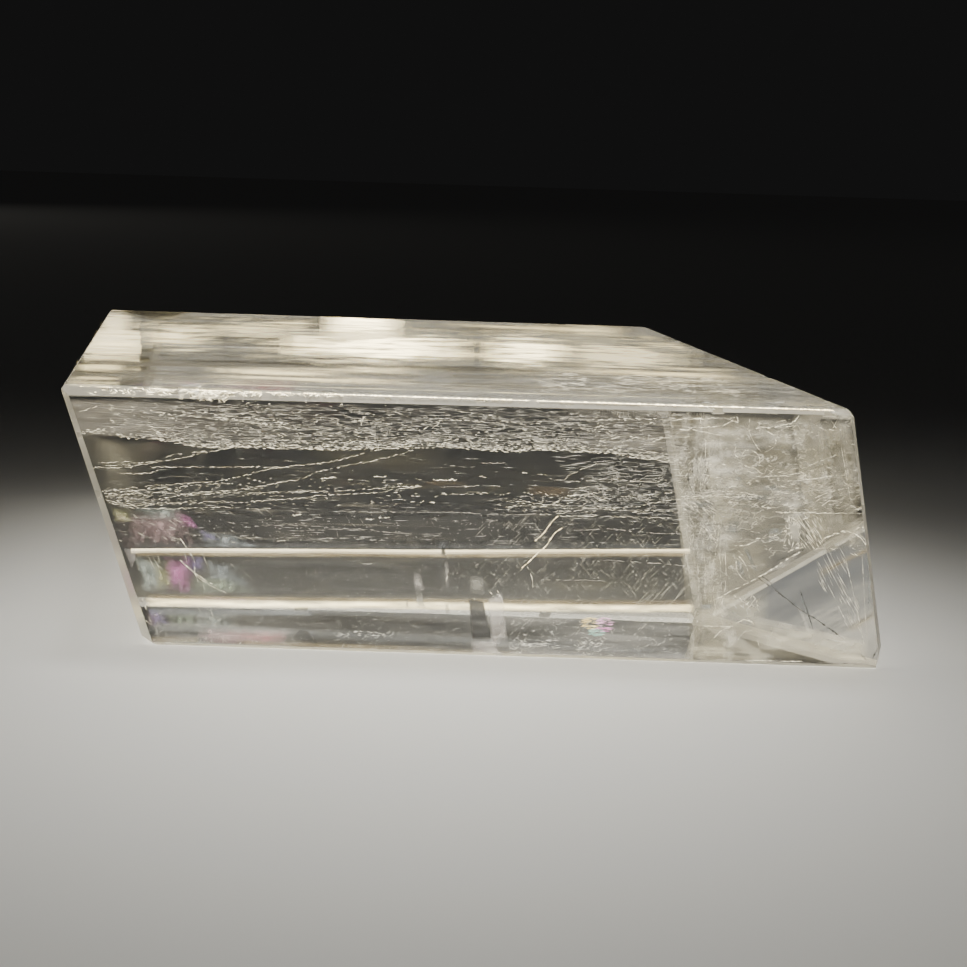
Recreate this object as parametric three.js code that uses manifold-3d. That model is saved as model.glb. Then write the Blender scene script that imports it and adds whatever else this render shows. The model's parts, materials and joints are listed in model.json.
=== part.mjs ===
// Optical calcite slab: one clear, nearly rhombohedral block of Iceland spar, with
// ground and polished bevels along its edges and small cleavage nicks in them.
// Millimetres, +Z up. X runs along the front edge from left to right and Y runs
// from front to back. The origin is the middle of the footprint's box, on the
// surface that the slab rests on.

import * as THREE from 'three';
import { mergeVertices } from 'three/addons/utils/BufferGeometryUtils.js';
import Module from 'manifold-3d';

const wasm = await Module();
wasm.setup();

// ---------------------------------------------------------------------------
// Driving dimensions, in millimetres and degrees
// ---------------------------------------------------------------------------

// The three edges that meet at the front top left corner, before bevelling.
const FRONT_EDGE = 100;
const DEPTH_EDGE = 102.3;
const HEIGHT_EDGE = 38.1;

// The face angles at that corner. Calcite cleaves at 101.93 and 78.07 degrees, and
// these polished faces lie one or two degrees off the cleavage.
const TOP_ANGLE = 99.8;
const FRONT_ANGLE = 76.9;
const LEFT_ANGLE = 80.0;

// A corner is named by three digits: how far it lies along the front edge, the
// depth edge and the height edge, so [0, 0, 0] is the front top left corner and
// [1, 1, 1] the back bottom right one.
// Each bevel lies between two faces and is as wide as `widths` says at the edge's
// two ends.
const BEVELS = [
  { faces: ['front', 'top'], from: [0, 0, 0], to: [1, 0, 0], widths: [1.65, 0.85] },
  { faces: ['front', 'bottom'], from: [0, 0, 1], to: [1, 0, 1], widths: [0.9, 0.9] },
  { faces: ['back', 'top'], from: [0, 1, 0], to: [1, 1, 0], widths: [1.2, 1.1] },
  { faces: ['back', 'bottom'], from: [0, 1, 1], to: [1, 1, 1], widths: [1.05, 1.1] },
  { faces: ['left', 'top'], from: [0, 0, 0], to: [0, 1, 0], widths: [0.8, 1.0] },
  { faces: ['right', 'top'], from: [1, 0, 0], to: [1, 1, 0], widths: [0.6, 0.8] },
  { faces: ['left', 'bottom'], from: [0, 0, 1], to: [0, 1, 1], widths: [1.3, 1.1] },
  { faces: ['right', 'bottom'], from: [1, 0, 1], to: [1, 1, 1], widths: [1.4, 1.5] },
  { faces: ['front', 'left'], from: [0, 0, 0], to: [0, 0, 1], widths: [1.2, 2.0] },
  { faces: ['front', 'right'], from: [1, 0, 0], to: [1, 0, 1], widths: [0.6, 0.9] },
  { faces: ['back', 'left'], from: [0, 1, 0], to: [0, 1, 1], widths: [1.5, 1.4] },
  { faces: ['back', 'right'], from: [1, 1, 0], to: [1, 1, 1], widths: [1.1, 1.3] },
];

// Corners that are blunted by one more facet. The facet leans towards its faces
// as `lean` says and lies `depth` inside the sharp corner.
const CORNER_FACETS = [
  { corner: [1, 0, 1], lean: { right: 1, front: 0.5, bottom: 0.3 }, depth: 1.35 },
  { corner: [1, 0, 0], lean: { right: 1, front: 0.6, top: 1.1 }, depth: 0.8 },
  { corner: [0, 0, 0], lean: { left: 1, front: 0.7, top: 0.8 }, depth: 0.95 },
  { corner: [0, 0, 1], lean: { left: 1, front: 0.6, bottom: 0.9 }, depth: 1.05 },
  { corner: [0, 1, 0], lean: { left: 1, back: 1, top: 1 }, depth: 1.2 },
  { corner: [1, 1, 0], lean: { right: 1, back: 1, top: 1 }, depth: 1.0 },
  { corner: [0, 1, 1], lean: { left: 1, back: 1, bottom: 1 }, depth: 1.25 },
  { corner: [1, 1, 1], lean: { right: 1, back: 1, bottom: 1 }, depth: 1.4 },
];

// Nicks that broke out of the edges along the crystal's own cleavage, so each has
// a flat floor, a flat wall and square ends. A nick starts `at` millimetres from
// the edge's first corner, is `long` along it, and steps in from the edge by the
// two bites, the first across the second face and the second across the first.
const NICKS = [
  {
    from: [0, 0, 0], along: 'width', into: ['depth', 'height'],
    nicks: [
      { at: 5.2, long: 0.9, bites: [0.95, 0.7] },
      { at: 9.6, long: 1.4, bites: [1.2, 0.55] },
      { at: 11.4, long: 3.6, bites: [1.9, 0.42] },
      { at: 13.1, long: 1.7, bites: [1.15, 0.95] },
      { at: 15.0, long: 2.6, bites: [2.3, 0.36] },
      { at: 16.2, long: 1.1, bites: [1.0, 1.3] },
      { at: 17.6, long: 2.2, bites: [1.45, 0.8] },
      { at: 19.3, long: 3.8, bites: [1.75, 0.45] },
      { at: 21.2, long: 0.8, bites: [0.85, 0.9] },
      { at: 23.9, long: 1.3, bites: [1.3, 0.5] },
      { at: 27.6, long: 0.7, bites: [0.8, 0.8] },
      { at: 33.4, long: 1.6, bites: [1.1, 0.5] },
      { at: 41.0, long: 0.6, bites: [0.75, 0.75] },
      { at: 52.5, long: 1.0, bites: [0.95, 0.55] },
      { at: 63.7, long: 0.7, bites: [0.7, 0.7] },
      { at: 73.2, long: 2.2, bites: [1.0, 0.45] },
      { at: 80.6, long: 2.1, bites: [1.35, 0.6] },
      { at: 82.1, long: 1.4, bites: [0.8, 1.05] },
      { at: 94.6, long: 2.7, bites: [1.6, 0.5] },
      { at: 96.2, long: 1.5, bites: [0.95, 1.0] },
    ],
  },
  {
    from: [0, 0, 1], along: 'width', into: ['depth', '-height'],
    nicks: [
      { at: 3.0, long: 0.8, bites: [0.5, 0.6] },
      { at: 47.6, long: 0.9, bites: [0.5, 0.6] },
      { at: 81.4, long: 0.8, bites: [0.5, 0.6] },
    ],
  },
  {
    from: [0, 0, 0], along: 'height', into: ['width', 'depth'],
    nicks: [
      { at: 3.3, long: 1.5, bites: [0.85, 0.6] },
      { at: 6.6, long: 0.7, bites: [0.8, 0.7] },
      { at: 14.9, long: 1.0, bites: [0.7, 0.9] },
    ],
  },
  {
    from: [1, 0, 0], along: 'height', into: ['-width', 'depth'],
    nicks: [
      { at: 12.4, long: 0.9, bites: [0.4, 0.5] },
      { at: 24.8, long: 1.3, bites: [0.5, 0.4] },
    ],
  },
  {
    from: [1, 0, 0], along: 'depth', into: ['-width', 'height'],
    nicks: [
      { at: 8.0, long: 2.6, bites: [0.55, 0.4] },
      { at: 29.5, long: 1.4, bites: [0.5, 0.5] },
      { at: 30.4, long: 3.4, bites: [0.75, 0.3] },
      { at: 66.0, long: 2.0, bites: [0.6, 0.45] },
    ],
  },
  {
    from: [0, 0, 0], along: 'depth', into: ['width', 'height'],
    nicks: [
      { at: 14.2, long: 1.8, bites: [0.75, 0.5] },
      { at: 47.5, long: 2.5, bites: [0.85, 0.4] },
      { at: 88.0, long: 1.6, bites: [0.6, 0.7] },
    ],
  },
  {
    from: [0, 1, 0], along: 'width', into: ['-depth', 'height'],
    nicks: [
      { at: 19.5, long: 2.4, bites: [1.1, 0.5] },
      { at: 57.0, long: 3.0, bites: [0.9, 0.7] },
      { at: 83.5, long: 1.4, bites: [1.3, 0.4] },
    ],
  },
  {
    from: [0, 1, 1], along: 'width', into: ['-depth', '-height'],
    nicks: [
      { at: 31.0, long: 2.2, bites: [0.7, 1.1] },
      { at: 72.5, long: 1.8, bites: [1.2, 0.8] },
    ],
  },
];

// The surface, as a fine polish on clear spar.
const SPAR_COLOUR = 0xd9d4c4;
const SPAR_ROUGHNESS = 0.05;

// ---------------------------------------------------------------------------
// The crystal's lattice directions and faces
// ---------------------------------------------------------------------------

const topAngle = THREE.MathUtils.degToRad(TOP_ANGLE);
const frontAngle = THREE.MathUtils.degToRad(FRONT_ANGLE);
const leftAngle = THREE.MathUtils.degToRad(LEFT_ANGLE);

// Unit vectors along the three edges: right, back and down. Height stands at the
// front face's angle to width and at the left face's angle to depth.
const width = new THREE.Vector3(1, 0, 0);
const depth = new THREE.Vector3(Math.cos(topAngle), Math.sin(topAngle), 0);
const heightX = Math.cos(frontAngle);
const heightY = (Math.cos(leftAngle) - heightX * depth.x) / depth.y;
const height = new THREE.Vector3(heightX, heightY, -Math.sqrt(1 - heightX ** 2 - heightY ** 2));

const DIRECTIONS = {
  width,
  depth,
  height,
  '-width': width.clone().negate(),
  '-depth': depth.clone().negate(),
  '-height': height.clone().negate(),
};

const bottom = new THREE.Vector3(0, 0, -1);
const back = new THREE.Vector3().crossVectors(width, height).normalize();
const right = new THREE.Vector3().crossVectors(height, depth).normalize();

// The outward normal of each face.
const NORMALS = {
  top: bottom.clone().negate(),
  bottom,
  front: back.clone().negate(),
  back,
  left: right.clone().negate(),
  right,
};

/** The place of a corner, from how far it lies along the three edges. */
function cornerPoint([acrossWidth, acrossDepth, acrossHeight]) {
  return new THREE.Vector3()
    .addScaledVector(width, acrossWidth * FRONT_EDGE)
    .addScaledVector(depth, acrossDepth * DEPTH_EDGE)
    .addScaledVector(height, acrossHeight * HEIGHT_EDGE);
}

// ---------------------------------------------------------------------------
// Solids
// ---------------------------------------------------------------------------

/** A closed three.js geometry as a solid that can be cut. */
function toSolid(geometry) {
  const bare = geometry.clone();
  bare.deleteAttribute('normal');
  bare.deleteAttribute('uv');
  const merged = mergeVertices(bare);
  return new wasm.Manifold(new wasm.Mesh({
    numProp: 3,
    vertProperties: new Float32Array(merged.attributes.position.array),
    triVerts: new Uint32Array(merged.index.array),
  }));
}

/** A solid as a three.js geometry with flat faces. */
function toGeometry(solid) {
  const mesh = solid.getMesh();
  const geometry = new THREE.BufferGeometry();
  geometry.setAttribute('position', new THREE.BufferAttribute(new Float32Array(mesh.vertProperties), 3));
  geometry.setIndex(new THREE.BufferAttribute(new Uint32Array(mesh.triVerts), 1));
  const faceted = geometry.toNonIndexed();
  faceted.computeVertexNormals();
  return faceted;
}

/** The slanted block that three edge vectors span from one of its corners. */
function rhomb(corner, first, second, third) {
  const block = new THREE.BoxGeometry(1, 1, 1).translate(0.5, 0.5, 0.5);
  const volume = new THREE.Vector3().crossVectors(first, second).dot(third);
  const edges = volume > 0 ? [first, second, third] : [second, first, third];
  const frame = new THREE.Matrix4().makeBasis(...edges).setPosition(corner);
  return block.applyMatrix4(frame);
}

/** A block that covers everything outside the plane through a point, to be cut away. */
function outsideOf(point, normal) {
  const size = 2 * (FRONT_EDGE + DEPTH_EDGE);
  const block = new THREE.BoxGeometry(size, size, size).translate(0, 0, size / 2);
  const turn = new THREE.Quaternion().setFromUnitVectors(new THREE.Vector3(0, 0, 1), normal);
  return block.applyQuaternion(turn).translate(point.x, point.y, point.z);
}

/** The cutter of one bevel: all that lies outside its plane. */
function bevelCutter({ faces, from, to, widths }) {
  const [normalA, normalB] = faces.map((name) => NORMALS[name]);
  const outward = new THREE.Vector3().addVectors(normalA, normalB).normalize();
  // The bevel closes the wedge between two faces. Half the wedge's opening turns
  // the bevel's width into its depth below the sharp edge.
  const halfWedge = (Math.PI - normalA.angleTo(normalB)) / 2;
  const depths = widths.map((wide) => wide / 2 / Math.tan(halfWedge));
  const start = cornerPoint(from).addScaledVector(outward, -depths[0]);
  const end = cornerPoint(to).addScaledVector(outward, -depths[1]);
  const alongBevel = new THREE.Vector3().subVectors(end, start).normalize();
  const sideways = new THREE.Vector3().crossVectors(outward, alongBevel).normalize();
  const normal = new THREE.Vector3().crossVectors(alongBevel, sideways).normalize();
  return outsideOf(start, normal);
}

/** The cutter of one blunted corner. */
function cornerCutter({ corner, lean, depth: inside }) {
  const normal = new THREE.Vector3();
  for (const [face, weight] of Object.entries(lean)) {
    normal.addScaledVector(NORMALS[face], weight);
  }
  normal.normalize();
  return outsideOf(cornerPoint(corner).addScaledVector(normal, -inside), normal);
}

/** The cutters of the nicks along one edge. */
function nickCutters({ from, along, into, nicks }) {
  const clearance = 2;
  const [inward, across] = into.map((name) => DIRECTIONS[name]);
  return nicks.map(({ at, long, bites }) => {
    const inner = cornerPoint(from)
      .addScaledVector(DIRECTIONS[along], at)
      .addScaledVector(inward, bites[0])
      .addScaledVector(across, bites[1]);
    return rhomb(
      inner,
      DIRECTIONS[along].clone().multiplyScalar(long),
      inward.clone().multiplyScalar(-bites[0] - clearance),
      across.clone().multiplyScalar(-bites[1] - clearance),
    );
  });
}

/** The slab: the sharp rhombohedron less its bevels, blunted corners and nicks. */
function makeSlab() {
  const sharp = rhomb(
    cornerPoint([0, 0, 0]),
    width.clone().multiplyScalar(FRONT_EDGE),
    depth.clone().multiplyScalar(DEPTH_EDGE),
    height.clone().multiplyScalar(HEIGHT_EDGE),
  );
  const cutters = [
    ...BEVELS.map(bevelCutter),
    ...CORNER_FACETS.map(cornerCutter),
    ...NICKS.flatMap(nickCutters),
  ];
  const solid = cutters.reduce((left, cutter) => left.subtract(toSolid(cutter)), toSolid(sharp));

  const spar = new THREE.MeshStandardMaterial({
    color: SPAR_COLOUR,
    roughness: SPAR_ROUGHNESS,
    metalness: 0,
  });
  const slab = new THREE.Mesh(toGeometry(solid), spar);
  slab.name = 'calcite_slab';

  slab.geometry.computeBoundingBox();
  const box = slab.geometry.boundingBox;
  const middle = box.getCenter(new THREE.Vector3());
  slab.position.set(-middle.x, -middle.y, -box.min.z);
  return slab;
}

const model = new THREE.Group();
model.add(makeSlab());

export default model;
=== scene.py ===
"""Optical calcite slab: looks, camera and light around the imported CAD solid."""

import itertools
import json
import math
import random

import bmesh
import bpy
from mathutils import Matrix, Vector, noise

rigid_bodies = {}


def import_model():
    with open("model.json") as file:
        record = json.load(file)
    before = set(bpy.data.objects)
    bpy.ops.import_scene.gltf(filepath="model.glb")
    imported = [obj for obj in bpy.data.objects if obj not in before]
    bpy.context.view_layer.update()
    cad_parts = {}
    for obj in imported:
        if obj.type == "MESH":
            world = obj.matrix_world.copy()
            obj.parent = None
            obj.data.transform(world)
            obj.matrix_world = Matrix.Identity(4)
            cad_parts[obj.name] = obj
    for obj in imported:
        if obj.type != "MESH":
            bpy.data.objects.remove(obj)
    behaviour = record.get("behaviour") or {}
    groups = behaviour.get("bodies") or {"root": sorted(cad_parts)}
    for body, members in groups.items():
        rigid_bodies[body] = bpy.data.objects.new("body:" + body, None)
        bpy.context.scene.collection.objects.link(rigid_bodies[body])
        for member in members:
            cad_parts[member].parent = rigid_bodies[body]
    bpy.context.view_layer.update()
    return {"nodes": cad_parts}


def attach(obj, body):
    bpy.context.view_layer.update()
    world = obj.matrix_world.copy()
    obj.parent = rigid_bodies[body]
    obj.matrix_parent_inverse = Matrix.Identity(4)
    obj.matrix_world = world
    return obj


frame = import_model()

MM = 0.001
CAD_SLAB = frame["nodes"]["calcite_slab"]

# ---- The camera, fitted to the slab's outline. The picture is square. ----

PICTURE = 967
PICTURE_CENTRE = PICTURE / 2
FOCAL_PIXELS = 1651.8
SENSOR = 36.0
CAMERA_PLACE = Vector((8.89, -260.11, 65.69)) * MM
CAMERA_DOWN = math.radians(11.10)
CAMERA_LEFT = math.radians(0.18)
CAMERA_ROLL = math.radians(1.81)


def make_camera():
    data = bpy.data.cameras.new("camera")
    data.sensor_width = SENSOR
    data.lens = FOCAL_PIXELS / PICTURE * SENSOR
    data.clip_start = 10 * MM
    camera = bpy.data.objects.new("camera", data)
    bpy.context.scene.collection.objects.link(camera)
    camera.matrix_world = (
        Matrix.Translation(CAMERA_PLACE)
        @ Matrix.Rotation(CAMERA_LEFT, 4, "Z")
        @ Matrix.Rotation(math.radians(90) - CAMERA_DOWN, 4, "X")
        @ Matrix.Rotation(CAMERA_ROLL, 4, "Z")
    )
    bpy.context.scene.camera = camera
    return camera


camera = make_camera()

# ---- The crystal's faces, as the CAD solid has them, and lines of sight through it ----

CALCITE_IOR = 1.6584
TOP_ANGLE = math.radians(99.8)
FRONT_ANGLE = math.radians(76.9)
LEFT_ANGLE = math.radians(80.0)

ACROSS = Vector((1, 0, 0))
AWAY = Vector((math.cos(TOP_ANGLE), math.sin(TOP_ANGLE), 0))
DOWN_X = math.cos(FRONT_ANGLE)
DOWN_Y = (math.cos(LEFT_ANGLE) - DOWN_X * AWAY.x) / AWAY.y
DOWN = Vector((DOWN_X, DOWN_Y, -math.sqrt(1 - DOWN_X**2 - DOWN_Y**2)))

NORMALS = {"top": Vector((0, 0, 1)), "bottom": Vector((0, 0, -1))}
NORMALS["back"] = ACROSS.cross(DOWN).normalized()
NORMALS["front"] = -NORMALS["back"]
NORMALS["right"] = DOWN.cross(AWAY).normalized()
NORMALS["left"] = -NORMALS["right"]
REACH = {
    name: max(v.co.dot(normal) for v in CAD_SLAB.data.vertices)
    for name, normal in NORMALS.items()
}

MOST_DEPTH = 0.96
SKIN_DEPTH = 0.15 * MM
KEPT_ROUNDS = 6
LEAST_SLOPE = 1e-6


def pixel_ray(px, py):
    """The camera's place and the direction in which a pixel looks."""
    ray = Vector((px - PICTURE_CENTRE, PICTURE_CENTRE - py, -FOCAL_PIXELS))
    ray = (camera.matrix_world.to_3x3() @ ray).normalized()
    return camera.matrix_world.translation.copy(), ray


def sight(px, py):
    """Where the line of sight through a pixel enters the slab, and its direction inside."""
    start, ray = pixel_ray(px, py)
    entry, face = -math.inf, None
    for name, normal in NORMALS.items():
        towards = ray.dot(normal)
        if towards < 0:
            distance = (REACH[name] - start.dot(normal)) / towards
            if distance > entry:
                entry, face = distance, name
    normal = NORMALS[face]
    ratio = 1 / CALCITE_IOR
    cosine = -ray.dot(normal)
    bent = ratio * cosine - math.sqrt(1 - ratio**2 * (1 - cosine**2))
    return start + ray * entry, (ray * ratio + normal * bent).normalized()


def kept(point, skin=SKIN_DEPTH):
    """The point, moved inward if it lies nearer a face than `skin` or beyond it."""
    point = point.copy()
    for _ in range(KEPT_ROUNDS):
        for name, normal in NORMALS.items():
            beyond = point.dot(normal) - (REACH[name] - skin)
            if beyond > 0:
                point -= normal * beyond
    return point


def inside(px, py, depth):
    """The point `depth` millimetres inside the slab on a pixel's line of sight.

    It stops short of the face that the line meets next, and keeps off every face.
    """
    start, direction = sight(px, py)
    thickness = min(
        (REACH[name] - start.dot(normal)) / direction.dot(normal)
        for name, normal in NORMALS.items()
        if direction.dot(normal) > LEAST_SLOPE
    )
    return kept(start + direction * min(depth * MM, MOST_DEPTH * thickness))


# ---- Mesh helpers. What lies inside the slab is placed by the pixels that show it. ----

DEEPER = Vector((0, 1, 0))
# Shares and spreads that make every sliver a little different.
SLIVER_WAIST = (0.3, 0.7)
STRAND_THICK = (0.3, 1.5)
STRAND_OVERLAP = 0.25
STRAND_TURN = 0.5


def new_object(name, mesh, material):
    piece = bpy.data.objects.new(name, mesh)
    bpy.context.scene.collection.objects.link(piece)
    mesh.materials.append(material)
    return piece


def new_inclusion(name, verts, faces, material, closed=True):
    """A piece that lies inside the slab. The faces of a closed one are turned outward."""
    mesh = bpy.data.meshes.new(name)
    mesh.from_pydata([tuple(v) for v in verts], [], faces)
    if closed:
        body = bmesh.new()
        body.from_mesh(mesh)
        bmesh.ops.recalc_face_normals(body, faces=body.faces)
        body.to_mesh(mesh)
        body.free()
    piece = new_object(name, mesh, material)
    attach(piece, "root")
    return piece


class Slivers:
    """Many thin closed slivers, joined in one mesh."""

    def __init__(self, seed):
        self.verts = []
        self.faces = []
        self.random = random.Random(seed)

    def add(self, start, end, up, side):
        """An eight-sided sliver from start to end, with its half thicknesses as vectors."""
        first = len(self.verts)
        middle = start.lerp(end, self.random.uniform(*SLIVER_WAIST))
        ring = [middle + up, middle + side, middle - up, middle - side]
        self.verts += [kept(v, 0) for v in (start, *ring, end)]
        for k in range(4):
            a, b = first + 1 + k, first + 1 + (k + 1) % 4
            self.faces.append((first, a, b))
            self.faces.append((first + 5, b, a))

    def lay(self, start, end, half):
        """A sliver as thick across its run as into the slab."""
        across = (end - start).normalized().cross(DEEPER).normalized()
        self.add(start, end, across * half, DEEPER * half)

    def piece(self, name, material):
        return new_inclusion(name, self.verts, self.faces, material)


def along(points, step):
    """Points at even steps along a smooth curve through given points (px, py)."""
    out = []
    count = len(points)
    for k in range(count - 1):
        p0 = points[max(k - 1, 0)]
        p1, p2 = points[k], points[k + 1]
        p3 = points[min(k + 2, count - 1)]
        pieces = max(1, round(math.dist(p1, p2) / step))
        for i in range(pieces):
            t = i / pieces
            out.append(tuple(
                0.5 * (2 * b + (c - a) * t + (2 * a - 5 * b + 4 * c - d) * t**2
                       + (3 * b - a - 3 * c + d) * t**3)
                for a, b, c, d in zip(p0, p1, p2, p3)
            ))
    out.append(points[-1])
    return out


def level(points, px):
    """The height py, at px, of the line through given points from left to right."""
    for (x0, y0), (x1, y1) in zip(points, points[1:]):
        if px <= x1:
            return y0 + (y1 - y0) * max(0.0, px - x0) / (x1 - x0)
    return points[-1][1]


def shifted(points, rise):
    """The points, moved down the picture."""
    return [(px, py + rise) for px, py in points]


def strand(slivers, points, depth, thick, gap=0.2, step=4, jitter=0.5, place=inside):
    """A broken bright line: short slivers end to end along given pixels.

    `depth` and the half thickness `thick` are in millimetres, `step` and `jitter` in pixels.
    """
    rnd = slivers.random
    path = along(points, step)
    for (x0, y0), (x1, y1) in zip(path, path[1:]):
        if rnd.random() < gap:
            continue
        shift = rnd.uniform(-jitter, jitter)
        turn = rnd.uniform(-jitter, jitter) * STRAND_TURN
        more_x, more_y = (x1 - x0) * STRAND_OVERLAP, (y1 - y0) * STRAND_OVERLAP
        start = place(x0 - more_x, y0 - more_y + shift, depth)
        end = place(x1 + more_x, y1 + more_y + shift + turn, depth)
        slivers.lay(start, end, thick * rnd.uniform(*STRAND_THICK) * MM)


def scatter(slivers, count, xs, ys, length, angle, depth, thick, where=None):
    """Short slivers at random in a field of pixels.

    Lengths are in pixels, angles in degrees, depths and half thicknesses in millimetres.
    """
    rnd = slivers.random
    for _ in range(count):
        px, py = rnd.uniform(*xs), rnd.uniform(*ys)
        if where is not None and not where(px, py):
            continue
        lean = math.radians(rnd.uniform(*angle))
        half = rnd.uniform(*length) / 2
        dx, dy = half * math.cos(lean), -half * math.sin(lean)
        deep = rnd.uniform(*depth)
        start, end = inside(px - dx, py - dy, deep), inside(px + dx, py + dy, deep)
        slivers.lay(start, end, rnd.uniform(*thick) * MM)


def scatter_fields(slivers, fields):
    """Scatters over several fields: count, px, py, length, angle, depth, half thickness."""
    for field in fields:
        scatter(slivers, *field)


def strand_piece(name, material, seed, lines, *values, **others):
    """One mesh of strands along given lines."""
    slivers = Slivers(seed)
    for points in lines:
        strand(slivers, points, *values, **others)
    slivers.piece(name, material)


def line_piece(name, material, seed, lines, fields, depth, thin=1, **others):
    """One mesh of strands, each with its own half thickness, and of fields of short slivers."""
    slivers = Slivers(seed)
    for half, *points in lines:
        strand(slivers, points, depth, half * thin, **others)
    scatter_fields(slivers, fields)
    slivers.piece(name, material)


def between(upper, lower):
    """Maps u and v, 0 to 1, to the pixels between two lines from left to right."""
    left, right = upper[0][0], upper[-1][0]

    def place(u, v):
        px = left + (right - left) * u
        return px, level(upper, px) * (1 - v) + level(lower, px) * v

    return place


def patch(a, b, c, d):
    """Maps u and v, 0 to 1, to the pixels of a four-cornered patch, clockwise from top left."""

    def place(u, v):
        top = Vector(a).lerp(Vector(b), u)
        return tuple(top.lerp(Vector(d).lerp(Vector(c), u), v))

    return place


# How many pixels wide and tall the folds and the torn borders of the films are.
FOLD_SIZE = (20, 5)
TEAR_SIZE = (9, 3)


def crumpling(px, py, seed):
    return noise.noise(Vector((px / FOLD_SIZE[0], py / FOLD_SIZE[1], seed * 7.3)))


def tearing(px, py, seed):
    return noise.noise(Vector((px / TEAR_SIZE[0], py / TEAR_SIZE[1], seed * 3.1 + 5)))


def film(name, place, material, depth, cells, soft, seed, slant=0, crumple=0.3, ragged=0.3,
         strength=((0, 1), (PICTURE, 1))):
    """A thin crumpled film, as a crack or a veil shows, over the pixels that `place` gives.

    It is too thin to cast a shadow or to light what lies near it. Its lower border lies
    `slant` millimetres deeper than its upper one. Its `fade` attribute falls to 0 over the
    `soft` shares at its borders, raggedly, and follows `strength`, a line of (px, share)
    points from left to right.
    """
    columns, rows = cells
    verts, fades = [], []
    for j in range(rows + 1):
        for i in range(columns + 1):
            u, v = i / columns, j / rows
            px, py = place(u, v)
            verts.append(inside(px, py, depth + slant * v + crumple * crumpling(px, py, seed)))
            border = min(min(u, 1 - u) / soft[0], min(v, 1 - v) / soft[1])
            torn = tearing(px, py, seed) * ragged
            share = level(strength, px)
            fades.append(0.0 if border <= 0 else share * min(1.0, max(0.0, border + torn)))
    wide = columns + 1
    faces = [
        (j * wide + i, j * wide + i + 1, (j + 1) * wide + i + 1, (j + 1) * wide + i)
        for j in range(rows)
        for i in range(columns)
    ]
    piece = new_inclusion(name, verts, faces, look[material], closed=False)
    piece.data.attributes.new("fade", "FLOAT", "POINT").data.foreach_set("value", fades)
    piece.data.shade_smooth()
    piece.visible_shadow = False
    piece.visible_diffuse = False
    return piece


def films(rows):
    """Films of a table.

    A row gives a film's name, its four corners or the map of its pixels, its look, depth in
    millimetres, cells, soft borders and seed, and may end with a dictionary of other values.
    """
    for name, place, material, depth, cells, soft, seed, *others in rows:
        place = place if callable(place) else patch(*place)
        film(name, place, material, depth, cells, soft, seed, **dict(*others))


def numbered_films(name, patches, material, depth, cells, soft, first_seed, **others):
    """Films of one look, one for each four-cornered patch."""
    for number, corners in enumerate(patches):
        film(f"{name}_{number}", patch(*corners), material, depth, cells, soft, first_seed + number,
             **others)


RIBBON_THICK = 0.12 * MM
RIBBON_STEP = 6
RIBBON_WORN = 0.08


def ribbon(name, points, half_height, material, depth):
    """A closed flat strip along given pixels, thickest in its middle, with worn borders."""
    path = along(points, RIBBON_STEP)
    rnd = random.Random(len(path))
    verts, faces = [], []
    for px, py in path:
        tall = half_height * (1 + rnd.uniform(-RIBBON_WORN, RIBBON_WORN))
        middle = inside(px, py, depth)
        verts += [
            inside(px, py - tall, depth),
            kept(middle - DEEPER * RIBBON_THICK),
            inside(px, py + tall, depth),
            kept(middle + DEEPER * RIBBON_THICK),
        ]
    last = len(path) - 1
    for k in range(last):
        for i in range(4):
            j = (i + 1) % 4
            faces.append((4 * k + i, 4 * k + j, 4 * k + 4 + j, 4 * k + 4 + i))
    faces.append((0, 1, 2, 3))
    faces.append(tuple(4 * last + i for i in (3, 2, 1, 0)))
    return new_inclusion(name, verts, faces, material)


# ---- Materials ----

TOP_ROUGHNESS = 0.045
GROUND_ROUGHNESS = 0.35
GROUND_FROST = 0.34
FROST_COLOUR = (0.82, 0.77, 0.66, 1)
# How far below its face a flat nick floor counts as broken, and not polished.
NICK_DEPTH = 0.03 * MM
PARALLEL = 0.9995
WAVE_SCALE = (50, 110, 40)
COMB_SCALE = (160, 60, 1)
PIT_SCALE = (2500, 2500, 2500)
WAVE_HEIGHT = 0.03 * MM
COMB_HEIGHT = 0.03 * MM
PIT_HEIGHT = 0.02 * MM
ABSORB_COLOUR = (0.66, 0.65, 0.58, 1)
ABSORB_DENSITY = 8.0
LAMP_SHARE = 0.85
TONE_STOPS = (0.35, 0.65)
FILM_ROUGHNESS = 0.6
FILM_GRAIN_ROUGHNESS = 0.6
NOISE_MIDDLE = 0.5


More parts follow.
